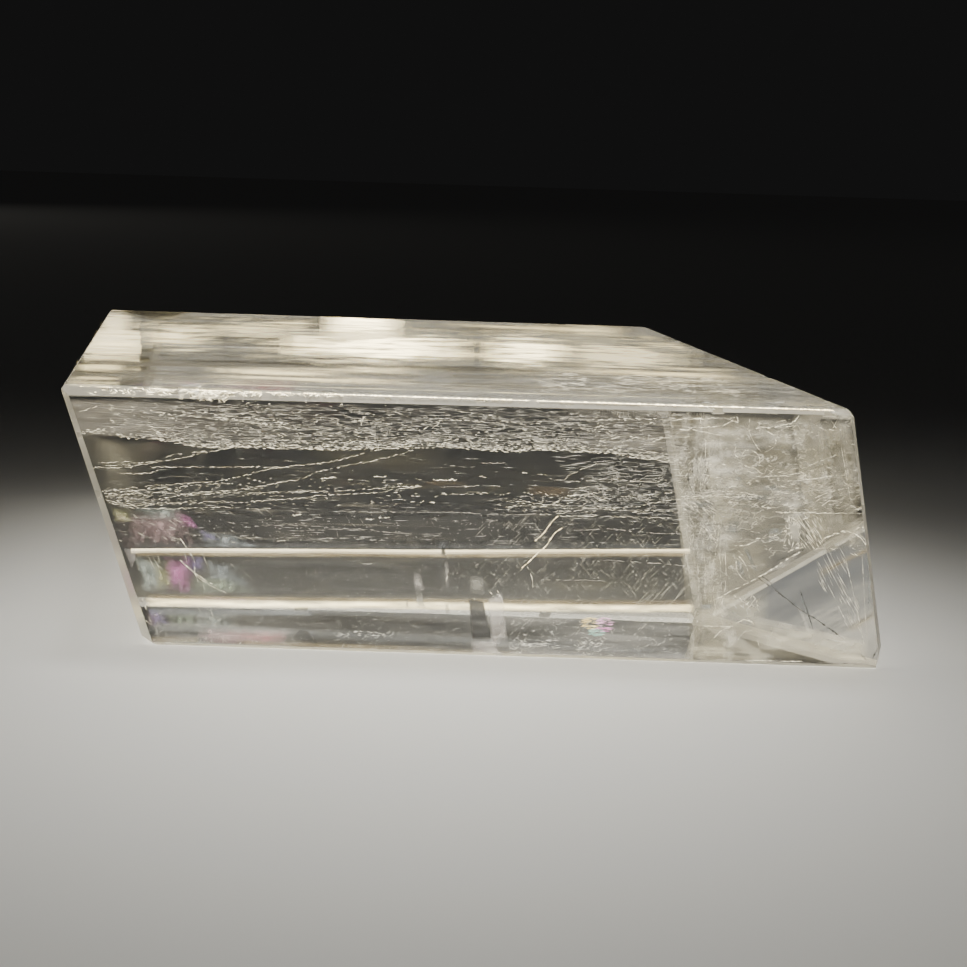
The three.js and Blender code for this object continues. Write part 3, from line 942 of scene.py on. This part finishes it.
# A dark plug on the second line, grey chips on the first and a dark crack through it. The plug and the
# crack are near-black painted shade, and the plug's blue rim is a painted glow.
CHIP_FILMS = [
    ("plug", ((441, 545), (445, 545), (447, 558), (440, 556)),
     "smoke", 20, (6, 8), (0.3, 0.3), 21),
    ("plug_glow", ((438, 541), (446, 541), (446, 548), (439, 548)),
     "fringe_blue", 19, (6, 6), (0.4, 0.4), 22),
    ("plug_tail", ((444, 560), (449, 560), (449, 590), (445, 590)),
     "lilac_film", 20, (4, 8), (0.4, 0.3), 23),
    ("chip_big", ((415, 592), (422, 590), (427, 610), (416, 608)),
     "grey_film", 20, (8, 10), (0.25, 0.25), 24),
    ("chip_haze", ((412, 572), (420, 570), (426, 592), (414, 592)),
     "lilac_film", 20, (8, 10), (0.4, 0.4), 25),
    ("chip_small", ((444, 601), (449, 602), (450, 615), (445, 613)),
     "grey_film", 20, (6, 8), (0.4, 0.4), 26),
    ("chip_notch", ((405, 599), (408, 599), (409, 608), (406, 608)),
     "grey_film", 20, (6, 8), (0.4, 0.3), 27),
    ("dark_crack", ((468, 597), (484, 601), (492, 639), (471, 640)),
     "smoke", 3, (10, 16), (0.07, 0.06), 28, {"slant": -1.5, "ragged": 0.1}),
    ("dark_crack_top", ((468, 574), (484, 576), (486, 597), (469, 595)),
     "grey_film", 18, (8, 10), (0.4, 0.4), 29),
    ("light_strip", ((487, 597), (503, 590), (508, 641), (491, 646)),
     "lilac_film", 4, (10, 20), (0.15, 0.12), 30),
    ("strip_foot", ((470, 641), (497, 640), (500, 656), (472, 655)),
     "lilac_film", 4, (14, 8), (0.1, 0.15), 31),
]
films(CHIP_FILMS)
CRACK_LINES = [
    [(470, 598), (474, 606), (478, 615)],
    [(474, 598), (478, 608), (481, 617)],
    [(481, 617), (478, 626), (476, 636)],
    [(490, 592), (497, 600), (500, 606)],
    [(497, 590), (503, 602), (504, 612)],
    [(142, 598), (145, 606), (149, 617), (151, 622)],
    [(180, 538), (187, 549), (194, 560), (196, 574), (208, 584), (226, 593)],
    [(180, 560), (196, 574), (212, 584)],
    [(194, 570), (198, 582)],
    [(448, 556), (448, 572), (446, 582)],
    [(527, 566), (532, 578), (533, 590)],
]
strand_piece("crack_lines", sparkle, 33, CRACK_LINES, 14, 0.05, gap=0.08, step=4, jitter=0.3)

# ---- Haze under the first line, and in the clear front ----

LOW_HAZE = [(146, 0.45), (300, 0.32), (330, 0.36), (460, 0.35), (500, 0.7), (560, 0.9), (694, 1.0)]
LOW_HAZE_TOP = [(146, 609), (500, 614), (694, 616)]
LOW_HAZE_FOOT = [(146, 650), (330, 656), (500, 659), (694, 663)]
HAZES = [
    ("low_haze", between(LOW_HAZE_TOP, LOW_HAZE_FOOT),
     "low_haze", 30, (180, 14), (0.02, 0.02), 41, {"slant": -28, "strength": LOW_HAZE}),
    ("mist_between", ((136, 557), (690, 557), (694, 603), (142, 596)),
     "mist", 45, (90, 14), (0.03, 0.1), 44),
    ("low_haze_corner", ((150, 622), (300, 626), (300, 652), (156, 649)),
     "low_haze", 3, (40, 10), (0.1, 0.1), 48),
    ("brown_streaks", ((262, 520), (470, 522), (470, 544), (262, 542)),
     "brown_haze", 28, (80, 10), (0.15, 0.2), 45),
    ("shelf_patch", ((335, 503), (395, 504), (395, 512), (335, 511)),
     "brown_haze", 28, (30, 6), (0.2, 0.3), 46),
    ("orange_fleck", ((420, 481), (468, 481), (468, 486), (425, 486)),
     "orange_film", 15, (20, 4), (0.2, 0.4), 47),
    ("orange_smear", ((520, 484), (575, 488), (575, 500), (530, 496)),
     "orange_film", 30, (20, 6), (0.4, 0.4), 48),
]
films(HAZES)

# ---- Rainbow colours of thin cracks at the left, and one small rainbow spot ----

TINT_PATCHES = [
    ("yellow_green", (110, 507), (130, 509), (134, 523), (114, 523)),
    ("pink", (112, 514), (186, 508), (206, 549), (124, 549)),
    ("sea", (134, 507), (180, 508), (186, 520), (138, 520)),
    ("magenta", (176, 511), (192, 517), (200, 530), (178, 526)),
    ("violet", (198, 528), (208, 531), (222, 541), (202, 541)),
    ("slate", (196, 530), (240, 535), (262, 548), (204, 548)),
    ("sea", (132, 556), (158, 556), (168, 594), (142, 594)),
    ("sea", (134, 558), (152, 558), (162, 592), (146, 592)),
    ("yellow_green", (150, 560), (170, 558), (174, 592), (158, 592)),
    ("magenta", (163, 556), (194, 556), (192, 594), (168, 594)),
    ("magenta", (165, 562), (184, 560), (188, 584), (170, 586)),
    ("violet", (184, 554), (204, 556), (206, 572), (188, 574)),
    ("slate", (200, 557), (240, 566), (258, 592), (202, 578)),
    ("green", (192, 576), (232, 576), (260, 594), (190, 594)),
    ("yellow_green", (144, 599), (190, 600), (192, 608), (146, 607)),
    ("pink", (186, 596), (290, 599), (288, 603), (188, 602)),
    ("pink", (144, 610), (160, 611), (160, 628), (148, 627)),
    ("violet", (148, 609), (166, 610), (170, 627), (152, 626)),
    ("green", (166, 612), (196, 610), (200, 629), (168, 628)),
    ("sea", (190, 610), (240, 612), (236, 630), (196, 630)),
    ("pink", (196, 626), (250, 628), (244, 646), (200, 644)),
    ("red", (208, 629), (292, 629), (284, 645), (214, 643)),
    ("red", (252, 629), (290, 630), (282, 645), (258, 644)),
]
# Each patch lies a step deeper than the last, in millimetres.
TINT_DEPTH = 12
TINT_STEP = 0.8
for number, (name, *corners) in enumerate(TINT_PATCHES):
    film(f"tint_patch_{number}", patch(*corners), name, TINT_DEPTH + TINT_STEP * number, (28, 20),
         (0.45, 0.45), 60 + number, crumple=0.2, ragged=0.35)
LEFT_FILMS = [
    ("left_wedge", ((123, 548), (137, 548), (135, 560), (132, 570)),
     "lilac_film", 8, (8, 10), (0.15, 0.12), 80),
    # low_peak: a dark film of painted shade.
    ("low_peak", ((288, 640), (300, 629), (306, 629), (322, 646)),
     "dim", 3, (10, 8), (0.2, 0.1), 81),
]
films(LEFT_FILMS)

# Each colour of the spot: its two tones and its field of px and py.
SPOT = {
    "gold": (((0.80, 0.58, 0.20), (0.98, 0.82, 0.42)), (583, 597), (618, 629)),
    "rose": (((0.82, 0.24, 0.62), (0.98, 0.62, 0.88)), (597, 611), (618, 632)),
    "cyan": (((0.36, 0.62, 0.56), (0.62, 0.82, 0.74)), (590, 603), (629, 636)),
}
for name, (colours, xs, ys) in SPOT.items():
    spot = Slivers(90)
    scatter(spot, 26, xs, ys, (5, 11), (-3, 3), (4, 8), (0.06, 0.13))
    spot.piece(f"rainbow_{name}", solid_material(f"rainbow_{name}", colours, 0.3))

# ---- Beige haze at both ends, and the crumpled right end ----

END_HAZES = [
    ("left_edge_haze", ((74, 432), (150, 446), (168, 548), (120, 548)),
     "beige_haze", 20, (24, 40), (0.5, 0.06), 100,
     {"strength": ((80, 1), (102, 0.6), (125, 0.25), (168, 0.1))}),
    ("wedge_haze", ((80, 434), (226, 449), (200, 464), (92, 468)),
     "beige_haze", 26, (50, 10), (0.2, 0.15), 107, {"strength": ((80, 0.5), (150, 0.35), (226, 0.1))}),
    ("beige_strip", ((668, 412), (708, 414), (727, 659), (690, 658)),
     "beige_haze", 34, (20, 60), (0.03, 0.02), 101, {"ragged": 0.1, "strength": ((668, 0.8), (730, 0.6))}),
    ("beige_strip_lines", ((669, 412), (725, 414), (735, 659), (691, 658)),
     "beige_streaks", 30, (24, 60), (0.05, 0.02), 102),
    ("beige_upper", ((700, 413), (853, 419), (866, 552), (712, 560)),
     "beige_haze", 30, (60, 40), (0.04, 0.10), 103),
    ("beige_upper_cloud", ((690, 414), (856, 419), (864, 520), (700, 560)),
     "cloud", 22, (60, 40), (0.05, 0.06), 104, {"crumple": 1.5}),
    ("beige_lower", ((700, 552), (775, 552), (765, 660), (692, 660)),
     "beige_haze", 22, (30, 40), (0.15, 0.06), 105),
    ("beige_corner", ((745, 612), (868, 640), (874, 664), (752, 662)),
     "beige_haze", 3, (50, 14), (0.1, 0.2), 106),
]
films(END_HAZES)

# Dark grey films in the dents: painted shade.
DENTS = [
    ((770, 527), (781, 528), (779, 533), (766, 536)),
    ((706, 525), (716, 526), (714, 531), (705, 531)),
    ((727, 520), (740, 520), (738, 536), (726, 534)),
    ((762, 485), (782, 485), (780, 491), (762, 491)),
    ((735, 476), (741, 476), (740, 482), (734, 481)),
    ((742, 546), (749, 549), (759, 575), (752, 568)),
    ((764, 540), (786, 527), (782, 534), (768, 545)),
    ((698, 604), (714, 603), (713, 610), (699, 610)),
    ((728, 496), (772, 494), (770, 500), (730, 500)),
    ((798, 588), (801, 592), (815, 632), (808, 622)),
    ((735, 556), (741, 560), (746, 580), (739, 574)),
    ((690, 500), (716, 502), (712, 511), (690, 509)),
]
numbered_films("dent", DENTS, "slate_film", 18, (10, 8), (0.25, 0.25), 110)

PALE_PANES = [
    ((752, 615), (800, 626), (800, 631), (754, 624)),
    ((800, 626), (850, 637), (862, 650), (800, 631)),
    ((757, 630), (800, 640), (816, 652), (758, 650)),
    ((796, 604), (800, 606), (818, 648), (810, 640)),
    ((757, 577), (766, 572), (804, 548), (790, 566)),
    ((722, 628), (737, 630), (738, 640), (729, 650)),
    ((786, 520), (802, 520), (800, 544), (788, 542)),
    ((690, 458), (706, 458), (708, 480), (694, 480)),
]
numbered_films("pane", PALE_PANES, "pale_pane", 6, (14, 8), (0.2, 0.2), 130)

# Bright lines: (half thickness in mm, points).
RIGHT_LINES = [
    (0.10, (680, 430), (693, 430), (708, 433), (722, 435)),
    (0.10, (688, 428), (710, 427), (724, 425), (733, 420)),
    (0.08, (668, 419), (690, 419), (710, 419)),
    (0.10, (724, 418), (731, 420), (738, 422), (736, 415)),
    (0.10, (756, 428), (770, 427.5), (782, 425.5), (792, 423), (799, 416)),
    (0.07, (776, 422), (790, 419)),
    (0.07, (786, 427), (797, 425.5)),
    (0.07, (816, 425), (822, 429), (829, 430), (842, 430)),
    (0.06, (831, 421), (837, 429)),
    (0.06, (838, 419), (832, 430)),
    (0.05, (750, 418), (749, 430), (754, 442), (762, 452), (770, 450), (776, 442), (772, 434), (762, 430)),
    (0.06, (736, 446), (735, 454), (740, 458), (746, 450), (754, 452), (760, 458), (758, 466)),
    (0.09, (745, 466), (750, 468), (756, 469), (760, 473)),
    (0.07, (703, 474), (716, 477), (728, 478), (738, 480)),
    (0.07, (720, 465), (731, 466)),
    (0.12, (729, 487), (736, 486), (741, 487)),
    (0.14, (749, 484), (751, 484)),
    (0.06, (756, 477), (770, 476), (782, 476), (794, 474), (804, 474)),
    (0.05, (776, 480), (790, 481), (804, 480), (820, 478), (834, 475)),
    (0.05, (800, 470), (818, 462), (836, 455)),
    (0.06, (700, 493), (720, 491), (745, 493), (762, 497)),
    (0.07, (690, 497), (710, 496), (735, 497), (760, 496), (775, 498)),
    (0.11, (726, 503), (733, 502), (742, 503)),
    (0.10, (762, 507), (770, 508), (779, 508)),
    (0.08, (772, 512), (798, 512.6), (822, 513), (863, 513.6)),
    (0.05, (822, 506), (830, 501), (842, 502), (853, 506), (860, 510)),
    (0.05, (815, 498), (830, 492), (848, 488)),
    (0.05, (700, 530), (708, 534), (718, 541)),
    (0.08, (702, 526), (710, 533), (716, 543)),
    (0.06, (706, 541), (712, 534), (717, 528)),
    (0.08, (756, 539), (774, 536), (786, 530), (798, 522), (808, 518)),
    (0.07, (733, 546), (745, 545), (756, 541)),
    (0.16, (788, 552), (796, 549), (803, 547)),
    (0.11, (816, 549), (824, 548)),
    (0.15, (819, 543), (826, 538), (836, 533.6), (846, 531.6), (854, 533), (862, 538), (867, 545)),
    (0.15, (758, 577), (770, 571), (786, 560), (800, 552)),
    (0.11, (698, 606), (716, 599), (736, 589), (756, 579)),
    (0.06, (736, 560), (737, 570), (742, 578), (748, 582)),
    (0.06, (739, 556), (746, 566), (750, 578)),
    (0.05, (725, 552), (726, 580), (722, 604)),
    (0.05, (704, 556), (706, 575), (704, 596)),
    (0.05, (697, 562), (699, 580), (698, 600)),
    (0.13, (698, 620), (696.5, 625), (700, 630)),
    (0.09, (704, 626), (718, 626.5), (732, 626.6)),
    (0.12, (732, 626.6), (742, 620.5), (750, 621), (755, 625)),
    (0.06, (714, 638), (722, 630), (730, 628)),
    (0.05, (738, 640), (744, 632), (752, 630)),
    (0.09, (745, 661), (760, 661), (802, 661.6)),
    (0.05, (756, 631), (760, 652)),
    (0.06, (844, 655), (845, 660)),
    (0.06, (700, 413), (701, 424)),
    (0.06, (706, 440), (705, 460)),
    (0.05, (842, 448), (846, 470), (851, 500)),
    (0.05, (846, 560), (857, 610), (864, 645)),
]
# Dark lines, noted in the same way.
DARK_LINES = [
    (0.11, (758, 578), (778, 592), (798, 608), (816, 619), (838, 635), (869, 662)),
    (0.08, (800, 590), (807, 610), (813, 629)),
    (0.07, (762, 576), (772, 584), (776, 590)),
    (0.09, (788, 556), (796, 552), (805, 549)),
    (0.07, (692, 462), (693, 476)),
    (0.07, (696, 458), (698, 470), (697, 484)),
    (0.07, (688, 470), (689, 484), (692, 490)),
    (0.06, (820, 546), (832, 537), (846, 534)),
    (0.05, (760, 572), (780, 560), (792, 555)),
    (0.05, (600, 490), (640, 488), (664, 489)),
    (0.05, (570, 506), (620, 504), (668, 506)),
    (0.07, (640, 513.5), (680, 515.5)),
]
# right_folds and strip_folds: dark hairlines of painted shade along the folds.
RIGHT_VEINS = [
    ("right_folds", ((704, 414), (842, 420), (846, 512), (706, 560)),
     "right_folds", 16, (50, 40), (0.12, 0.06), 142, {"crumple": 1}),
    ("right_veins", ((690, 414), (856, 420), (864, 520), (700, 600)),
     "right_veins", 12, (50, 40), (0.06, 0.06), 141,
     {"crumple": 1, "strength": ((690, 1), (780, 0.9), (864, 0.5))}),
    ("strip_veins", ((672, 430), (706, 430), (722, 600), (690, 600)),
     "front_crumples", 11, (16, 50), (0.1, 0.1), 143),
    ("strip_folds", ((676, 450), (724, 450), (734, 654), (692, 654)),
     "right_folds", 10, (20, 60), (0.1, 0.06), 144, {"crumple": 1}),
]
films(RIGHT_VEINS)

RIGHT_FIELDS = [
    (70, (680, 708), (458, 494), (2, 10), (50, 130), (8, 14), (0.015, 0.045)),
    (26, (684, 716), (498, 512), (4, 12), (-50, -20), (8, 14), (0.03, 0.07)),
    (220, (700, 862), (415, 555), (2, 9), (-35, 45), (8, 26), (0.012, 0.035)),
    (160, (745, 862), (470, 512), (2, 10), (-20, 28), (8, 26), (0.012, 0.035)),
    (70, (684, 722), (516, 548), (3, 12), (50, 130), (8, 14), (0.012, 0.03)),
    (40, (784, 802), (518, 546), (3, 9), (10, 170), (8, 14), (0.03, 0.06)),
    (50, (800, 822), (518, 546), (5, 16), (-66, -50), (6, 9), (0.02, 0.05)),
    (26, (820, 846), (550, 592), (10, 30), (-66, -60), (5, 7), (0.015, 0.03)),
    (60, (690, 726), (550, 606), (3, 14), (70, 110), (8, 14), (0.010, 0.022)),
    (26, (734, 760), (596, 612), (3, 8), (20, 160), (5, 7), (0.02, 0.05)),
    (22, (840, 860), (600, 630), (5, 14), (-66, -56), (4, 5), (0.015, 0.03)),
]
# The share of its noted half thickness that a bright line gets.
RIGHT_THIN = 0.62
line_piece("right_lines", sparkle, 41, RIGHT_LINES, RIGHT_FIELDS, 8, RIGHT_THIN, gap=0.12, step=2.5)

DARK_FIELDS = [
    (22, (684, 708), (460, 494), (4, 12), (55, 125), (7, 12), (0.03, 0.07)),
    (26, (688, 716), (499, 511), (4, 11), (-50, -25), (7, 12), (0.03, 0.07)),
    (26, (700, 800), (480, 512), (6, 22), (-6, 8), (8, 20), (0.02, 0.05)),
    (26, (800, 822), (520, 545), (5, 14), (-66, -50), (6, 9), (0.02, 0.05)),
    (90, (560, 690), (415, 450), (6, 26), (-6, 6), (8, 26), (0.02, 0.06)),
]
line_piece("dark_lines", shade, 42, DARK_LINES, DARK_FIELDS, 7, gap=0.04, step=4, jitter=0.25)

# ---- Cracks, chips and sparkles just under the top face and along its front bevel ----

# How deep the cracks under the top face lie, in millimetres.
SKIN = 0.5
TOP_LINES = [
    (0.10, (668, 368.5), (678, 371), (686, 373.5), (692, 376), (702, 377.5), (713, 378)),
    (0.12, (690, 375.5), (705, 377.5), (716, 378.5), (726, 380.5), (733, 382)),
    (0.12, (738, 381.5), (746, 385), (752, 389), (760, 392.5), (770, 393.5)),
    (0.07, (700, 372.5), (712, 374), (722, 377)),
    (0.07, (744, 383), (754, 387), (760, 389)),
    (0.06, (775, 388), (786, 393), (796, 397), (802, 400)),
    (0.05, (706, 369), (712, 366), (716, 361)),
    (0.05, (712, 380), (716, 385), (714, 389)),
    (0.09, (300, 374), (306, 372.5), (309, 370.5), (318, 373)),
    (0.08, (338, 378), (343, 376), (352, 377.5), (362, 378)),
    (0.09, (255, 362), (262, 361.5)),
    (0.08, (259, 357.5), (270, 357.5)),
    (0.08, (280, 360), (289, 360.5)),
    (0.07, (382, 382), (394, 381.5), (404, 380.5)),
    (0.06, (402, 374), (408, 376), (414, 375)),
    (0.10, (442, 385), (447, 385)),
    (0.07, (450, 378), (453, 379)),
    (0.07, (414, 380), (418, 380.5)),
    (0.06, (306, 329), (322, 330.5), (334, 331)),
    (0.05, (540, 375), (556, 373), (574, 374.5)),
]
SKIN_FIELDS = [
    (60, (380, 445), (370, 386), (1, 5), (-30, 30), (0.3, 0.8), (0.02, 0.06)),
    (20, (240, 290), (355, 364), (1, 6), (-10, 10), (0.3, 0.8), (0.03, 0.06)),
    (220, (545, 700), (372, 392), (2, 9), (-35, 15), (0.3, 0.8), (0.015, 0.035)),
    (80, (690, 770), (376, 402), (2, 7), (-25, 15), (0.3, 0.8), (0.02, 0.04)),
    (40, (240, 560), (398, 406), (1, 3), (-80, 80), (0.3, 0.6), (0.03, 0.07)),
]
line_piece("top_cracks", sparkle, 51, TOP_LINES, SKIN_FIELDS, SKIN, gap=0.05, step=2.5, jitter=0.4)

# A painted highlight along the upper edge of the front bevel: cream slivers just outside it, placed in
# millimetres along and above it.
EDGE_Y = min(v.co.y for v in CAD_SLAB.data.vertices if v.co.z > REACH["top"] - SKIN_DEPTH / 10)
EDGE_OUT = 0.12 * MM


def on_edge(along_edge, above, out):
    return Vector((along_edge * MM, EDGE_Y - out, REACH["top"] + above * MM))


edge = Slivers(55)
strand(edge, [(-14.8, -0.15), (52, -0.15)], EDGE_OUT, 0.115, gap=0.03, step=0.6, jitter=0.01, place=on_edge)
strand(edge, [(-43, -0.15), (-14.8, -0.15)], EDGE_OUT, 0.05, gap=0.35, step=0.5, jitter=0.01, place=on_edge)
edge.piece("bevel_glint", cream)

# Cream films just under the top face, a painted reflection in it, and grey streaks, painted shade in that
# reflection.
TOP_REFLECTIONS = [
    ((96, 318), (150, 318), (140, 360), (82, 366)),
    ((136, 332), (200, 324), (220, 336), (140, 346)),
    ((190, 326), (318, 318), (318, 328), (200, 340)),
    ((250, 340), (330, 336), (340, 356), (240, 360)),
    ((440, 340), (500, 338), (510, 362), (440, 360)),
    ((530, 340), (650, 346), (680, 364), (520, 362)),
    ((430, 320), (640, 326), (640, 338), (430, 332)),
    ((636, 332), (682, 342), (690, 352), (636, 346)),
    ((76, 358), (130, 356), (120, 388), (64, 386)),
    ((200, 366), (420, 366), (420, 386), (200, 384)),
    ((560, 356), (730, 366), (760, 388), (560, 376)),
]
numbered_films("top_cloud", TOP_REFLECTIONS, "top_cloud", 0.6, (40, 10), (0.25, 0.3), 160, crumple=0.05)
# The grey films here are painted shade in the top face's reflection.
TOP_FILMS = [
    ("top_grey_left", ((76, 352), (440, 357), (440, 388), (66, 384)),
     "top_grey", 0.9, (80, 14), (0.1, 0.3), 171, {"crumple": 0.05}),
    ("top_grey_right", ((430, 362), (720, 366), (790, 402), (430, 392)),
     "top_grey", 0.9, (80, 14), (0.1, 0.2), 172, {"crumple": 0.05}),
    ("top_grey_back", ((130, 313), (640, 324), (650, 336), (130, 326)),
     "top_grey", 0.9, (120, 8), (0.05, 0.2), 173, {"crumple": 0.05}),
    ("top_crinkles", ((540, 368), (720, 372), (790, 400), (520, 392)),
     "top_veins", 0.4, (80, 14), (0.15, 0.25), 174, {"crumple": 0.05}),
]
films(TOP_FILMS)

# White chips where cleavage flakes lifted along the front edge.
chips = Slivers(53)
CHIP_FIELDS = [
    (60, (146, 175), (386, 397), (2, 9)),
    (40, (155, 162), (372, 392), (2, 6)),
    (150, (178, 236), (382, 399), (2, 10)),
    (60, (190, 228), (390, 401), (3, 10)),
    (40, (236, 260), (391, 397), (2, 8)),
    (60, (270, 320), (390, 396), (2, 7)),
    (26, (320, 345), (392, 396), (2, 7)),
    (24, (88, 146), (390, 396), (2, 8)),
]
for count, xs, ys, length in CHIP_FIELDS:
    scatter(chips, count, xs, ys, length, (-50, 50), (0.2, 0.7), (0.02, 0.09))
chips.piece("edge_chips", sparkle)

CHIP_PANES = [
    ((701, 402), (718, 399), (716, 401), (706, 404)),
    ((708, 404), (720, 401), (713, 404), (702, 407)),
    ((768, 402), (787, 401), (784, 403), (772, 404)),
    ((766, 405), (782, 404.5), (779, 407), (764, 408)),
    ((820, 407), (834, 410), (850, 416), (832, 415)),
    ((180, 383), (200, 382), (204, 392), (186, 396)),
    ((190, 391), (226, 391), (224, 399), (196, 400)),
]
numbered_films("chip_pane", CHIP_PANES, "chip_film", 0.5, (10, 4), (0.1, 0.15), 150, crumple=0.1)

# A thin light line along the bottom edge.
FOOT_LINE = [(152, 643.5), (300, 647), (470, 652), (640, 657), (760, 661), (868, 664)]
strand_piece("foot_line", fibre, 54, [FOOT_LINE], 0.3, 0.06, gap=0.25, step=7, jitter=0.15)

# ---- Stage and lights ----

FLOOR_HALF = 4.0
FLOOR_COLOUR = (0.78, 0.77, 0.75, 1)
FLOOR_GAP = 0.05 * MM


def area_light(name, place, target, size, power, colour=(1, 1, 1), spread=180, only=None):
    data = bpy.data.lights.new(name, "AREA")
    data.shape = "RECTANGLE"
    data.size, data.size_y = size
    data.energy = power
    data.color = colour
    data.spread = math.radians(spread)
    lamp = bpy.data.objects.new(name, data)
    bpy.context.scene.collection.objects.link(lamp)
    lamp.location = place
    lamp.rotation_euler = (Vector(target) - Vector(place)).to_track_quat("-Z", "Y").to_euler()
    if only is not None:
        lamp.light_linking.receiver_collection = only
    return lamp


def make_floor():
    half = FLOOR_HALF
    corners = [(-half, -half, 0), (half, -half, 0), (half, half, 0), (-half, half, 0)]
    mesh = bpy.data.meshes.new("floor")
    mesh.from_pydata(corners, [], [(0, 1, 2, 3)])
    graph = Graph("floor_pale")
    graph.shader.inputs["Base Color"].default_value = FLOOR_COLOUR
    graph.shader.inputs["Roughness"].default_value = 0.9
    floor = new_object("floor", mesh, graph.material)
    floor.location.z = -FLOOR_GAP


make_floor()

slab_only = bpy.data.collections.new("slab_only")
slab_only.objects.link(CAD_SLAB)
inclusions = bpy.data.collections.new("inclusions")
for piece in bpy.context.scene.objects:
    if piece.type == "MESH" and piece.name not in ("floor", "calcite_slab"):
        inclusions.objects.link(piece)

GLINTING = ("second_edge", "glow_first", "diagonal_cracks", "cleavage_lines", "right_lines",
            "veil_sparks", "top_c", "edge_chips", "crack_lines", "bevel_glint", "scratches")
BRIGHTEST = ("glow_first", "bevel_glint", "edge_chips", "diagonal_cracks")


def collected(name, prefixes):
    """A collection of the inclusions whose names start with one of the prefixes."""
    collection = bpy.data.collections.new(name)
    for piece in inclusions.objects:
        if piece.name.startswith(prefixes):
            collection.objects.link(piece)
    return collection


glinting = collected("glinting", GLINTING)
brightest = collected("brightest", BRIGHTEST)

BACKGROUND = (0.008, 0.008, 0.008, 1)
WARM = (1.0, 0.95, 0.82)
COOL = (0.94, 0.97, 1.0)
CREAM = (1.0, 0.87, 0.54)
PALE_LIGHT = (1.0, 0.99, 0.93)
world = bpy.data.worlds.new("world")
bpy.context.scene.world = world
world.use_nodes = True
world.node_tree.nodes["Background"].inputs["Color"].default_value = BACKGROUND

area_light("key", (0, -0.05, 0.30), (0, -0.05, 0), (0.10, 0.06), 0.06, PALE_LIGHT, spread=40)
area_light("front_fill", (0.05, -0.36, 0.50), (0.05, -0.31, 0), (0.40, 0.30), 0.30, PALE_LIGHT, spread=70)
area_light("overhead", (0.05, 0.15, 0.40), (0.02, 0.05, 0), (0.50, 0.22), 1.6, WARM, only=slab_only)
area_light("bevel_left", (-0.35, -0.45, 0.30), (0, 0, 0.02), (0.3, 0.3), 2.0, WARM, only=slab_only)
area_light("back_high", (-1.0, 1.25, 0.32), (0, 0, 0.03), (0.7, 0.09), 0.14, WARM)
area_light("back_low", (-1.0, 1.25, 0.22), (0, 0, 0.03), (0.7, 0.10), 0.05, COOL)
area_light("inclusion_front", (0.05, -0.35, 0.35), (0, 0, 0.02), (0.3, 0.3), 4.9, WARM, only=inclusions)
area_light("glints", (0.05, -0.35, 0.36), (0, 0, 0.02), (0.3, 0.3), 8.0, CREAM, only=glinting)
area_light("brightest", (0.05, -0.35, 0.37), (0, 0, 0.02), (0.3, 0.3), 14.0, CREAM, only=brightest)

# The top face mirrors upright lamps that stand behind it, each a little farther than the last.
WINDOW_PLANE = 4.0
WINDOW_CREAM = (1.0, 0.84, 0.46)
WINDOW_STEP = 0.005
window_number = itertools.count()


def mirrored(px, py, plane):
    """The point of an upright plane that the top face mirrors at a pixel."""
    start, ray = pixel_ray(px, py)
    touch = start + ray * ((REACH["top"] - start.z) / ray.z)
    ray.z = -ray.z
    return touch + ray * ((plane - touch.y) / ray.y)


def window(name, near, far, radiance, colour=WINDOW_CREAM, shape="ELLIPSE"):
    """An upright lamp that shows in the top face between two opposite pixels."""
    plane = WINDOW_PLANE + WINDOW_STEP * next(window_number)
    (px0, py0), (px1, py1) = near, far
    px, py = (px0 + px1) / 2, (py0 + py1) / 2
    wide = abs(mirrored(px1, py, plane).x - mirrored(px0, py, plane).x)
    tall = abs(mirrored(px, py1, plane).z - mirrored(px, py0, plane).z)
    place = mirrored(px, py, plane)
    power = radiance * math.pi * wide * tall
    lamp = area_light(name, place, place - Vector((0, 1, 0)), (wide, tall), power, colour, only=slab_only)
    lamp.data.shape = shape
    lamp.visible_camera = False
    lamp.visible_transmission = False
    return lamp


# Each is four nested ellipses, so that its ends fade. The numbers are two opposite pixels
# and the brightness.
NESTED = (1.2, 1.02, 0.8, 0.55)
WINDOWS = [
    ("hot_back", (326, 318), (398, 327), 20),
    ("hot_middle", (294, 343), (458, 352), 20),
    ("hot_right", (486, 347), (564, 356), 14),
    ("cream_right", (550, 351), (690, 362), 3.4),
    ("cream_far", (560, 326), (624, 334), 1.6),
    ("swoosh", (144, 330), (216, 341), 4.2),
    ("swoosh_end", (206, 327), (312, 334), 3.4),
    ("bar", (290, 336), (310, 342), 3.0),
    ("blob", (98, 316), (130, 330), 3.0),
]
for name, (left, low), (right, high), radiance in WINDOWS:
    middle, reach = (left + right) / 2, (right - left) / 2
    for number, share in enumerate(NESTED):
        window(f"window_{name}_{number}", (middle - reach * share, low), (middle + reach * share, high),
               radiance / len(NESTED))
window("window_patch", (84, 332), (140, 356), 3.6, shape="RECTANGLE")
window("window_sill", (40, 312), (760, 402), 0.05, shape="RECTANGLE")
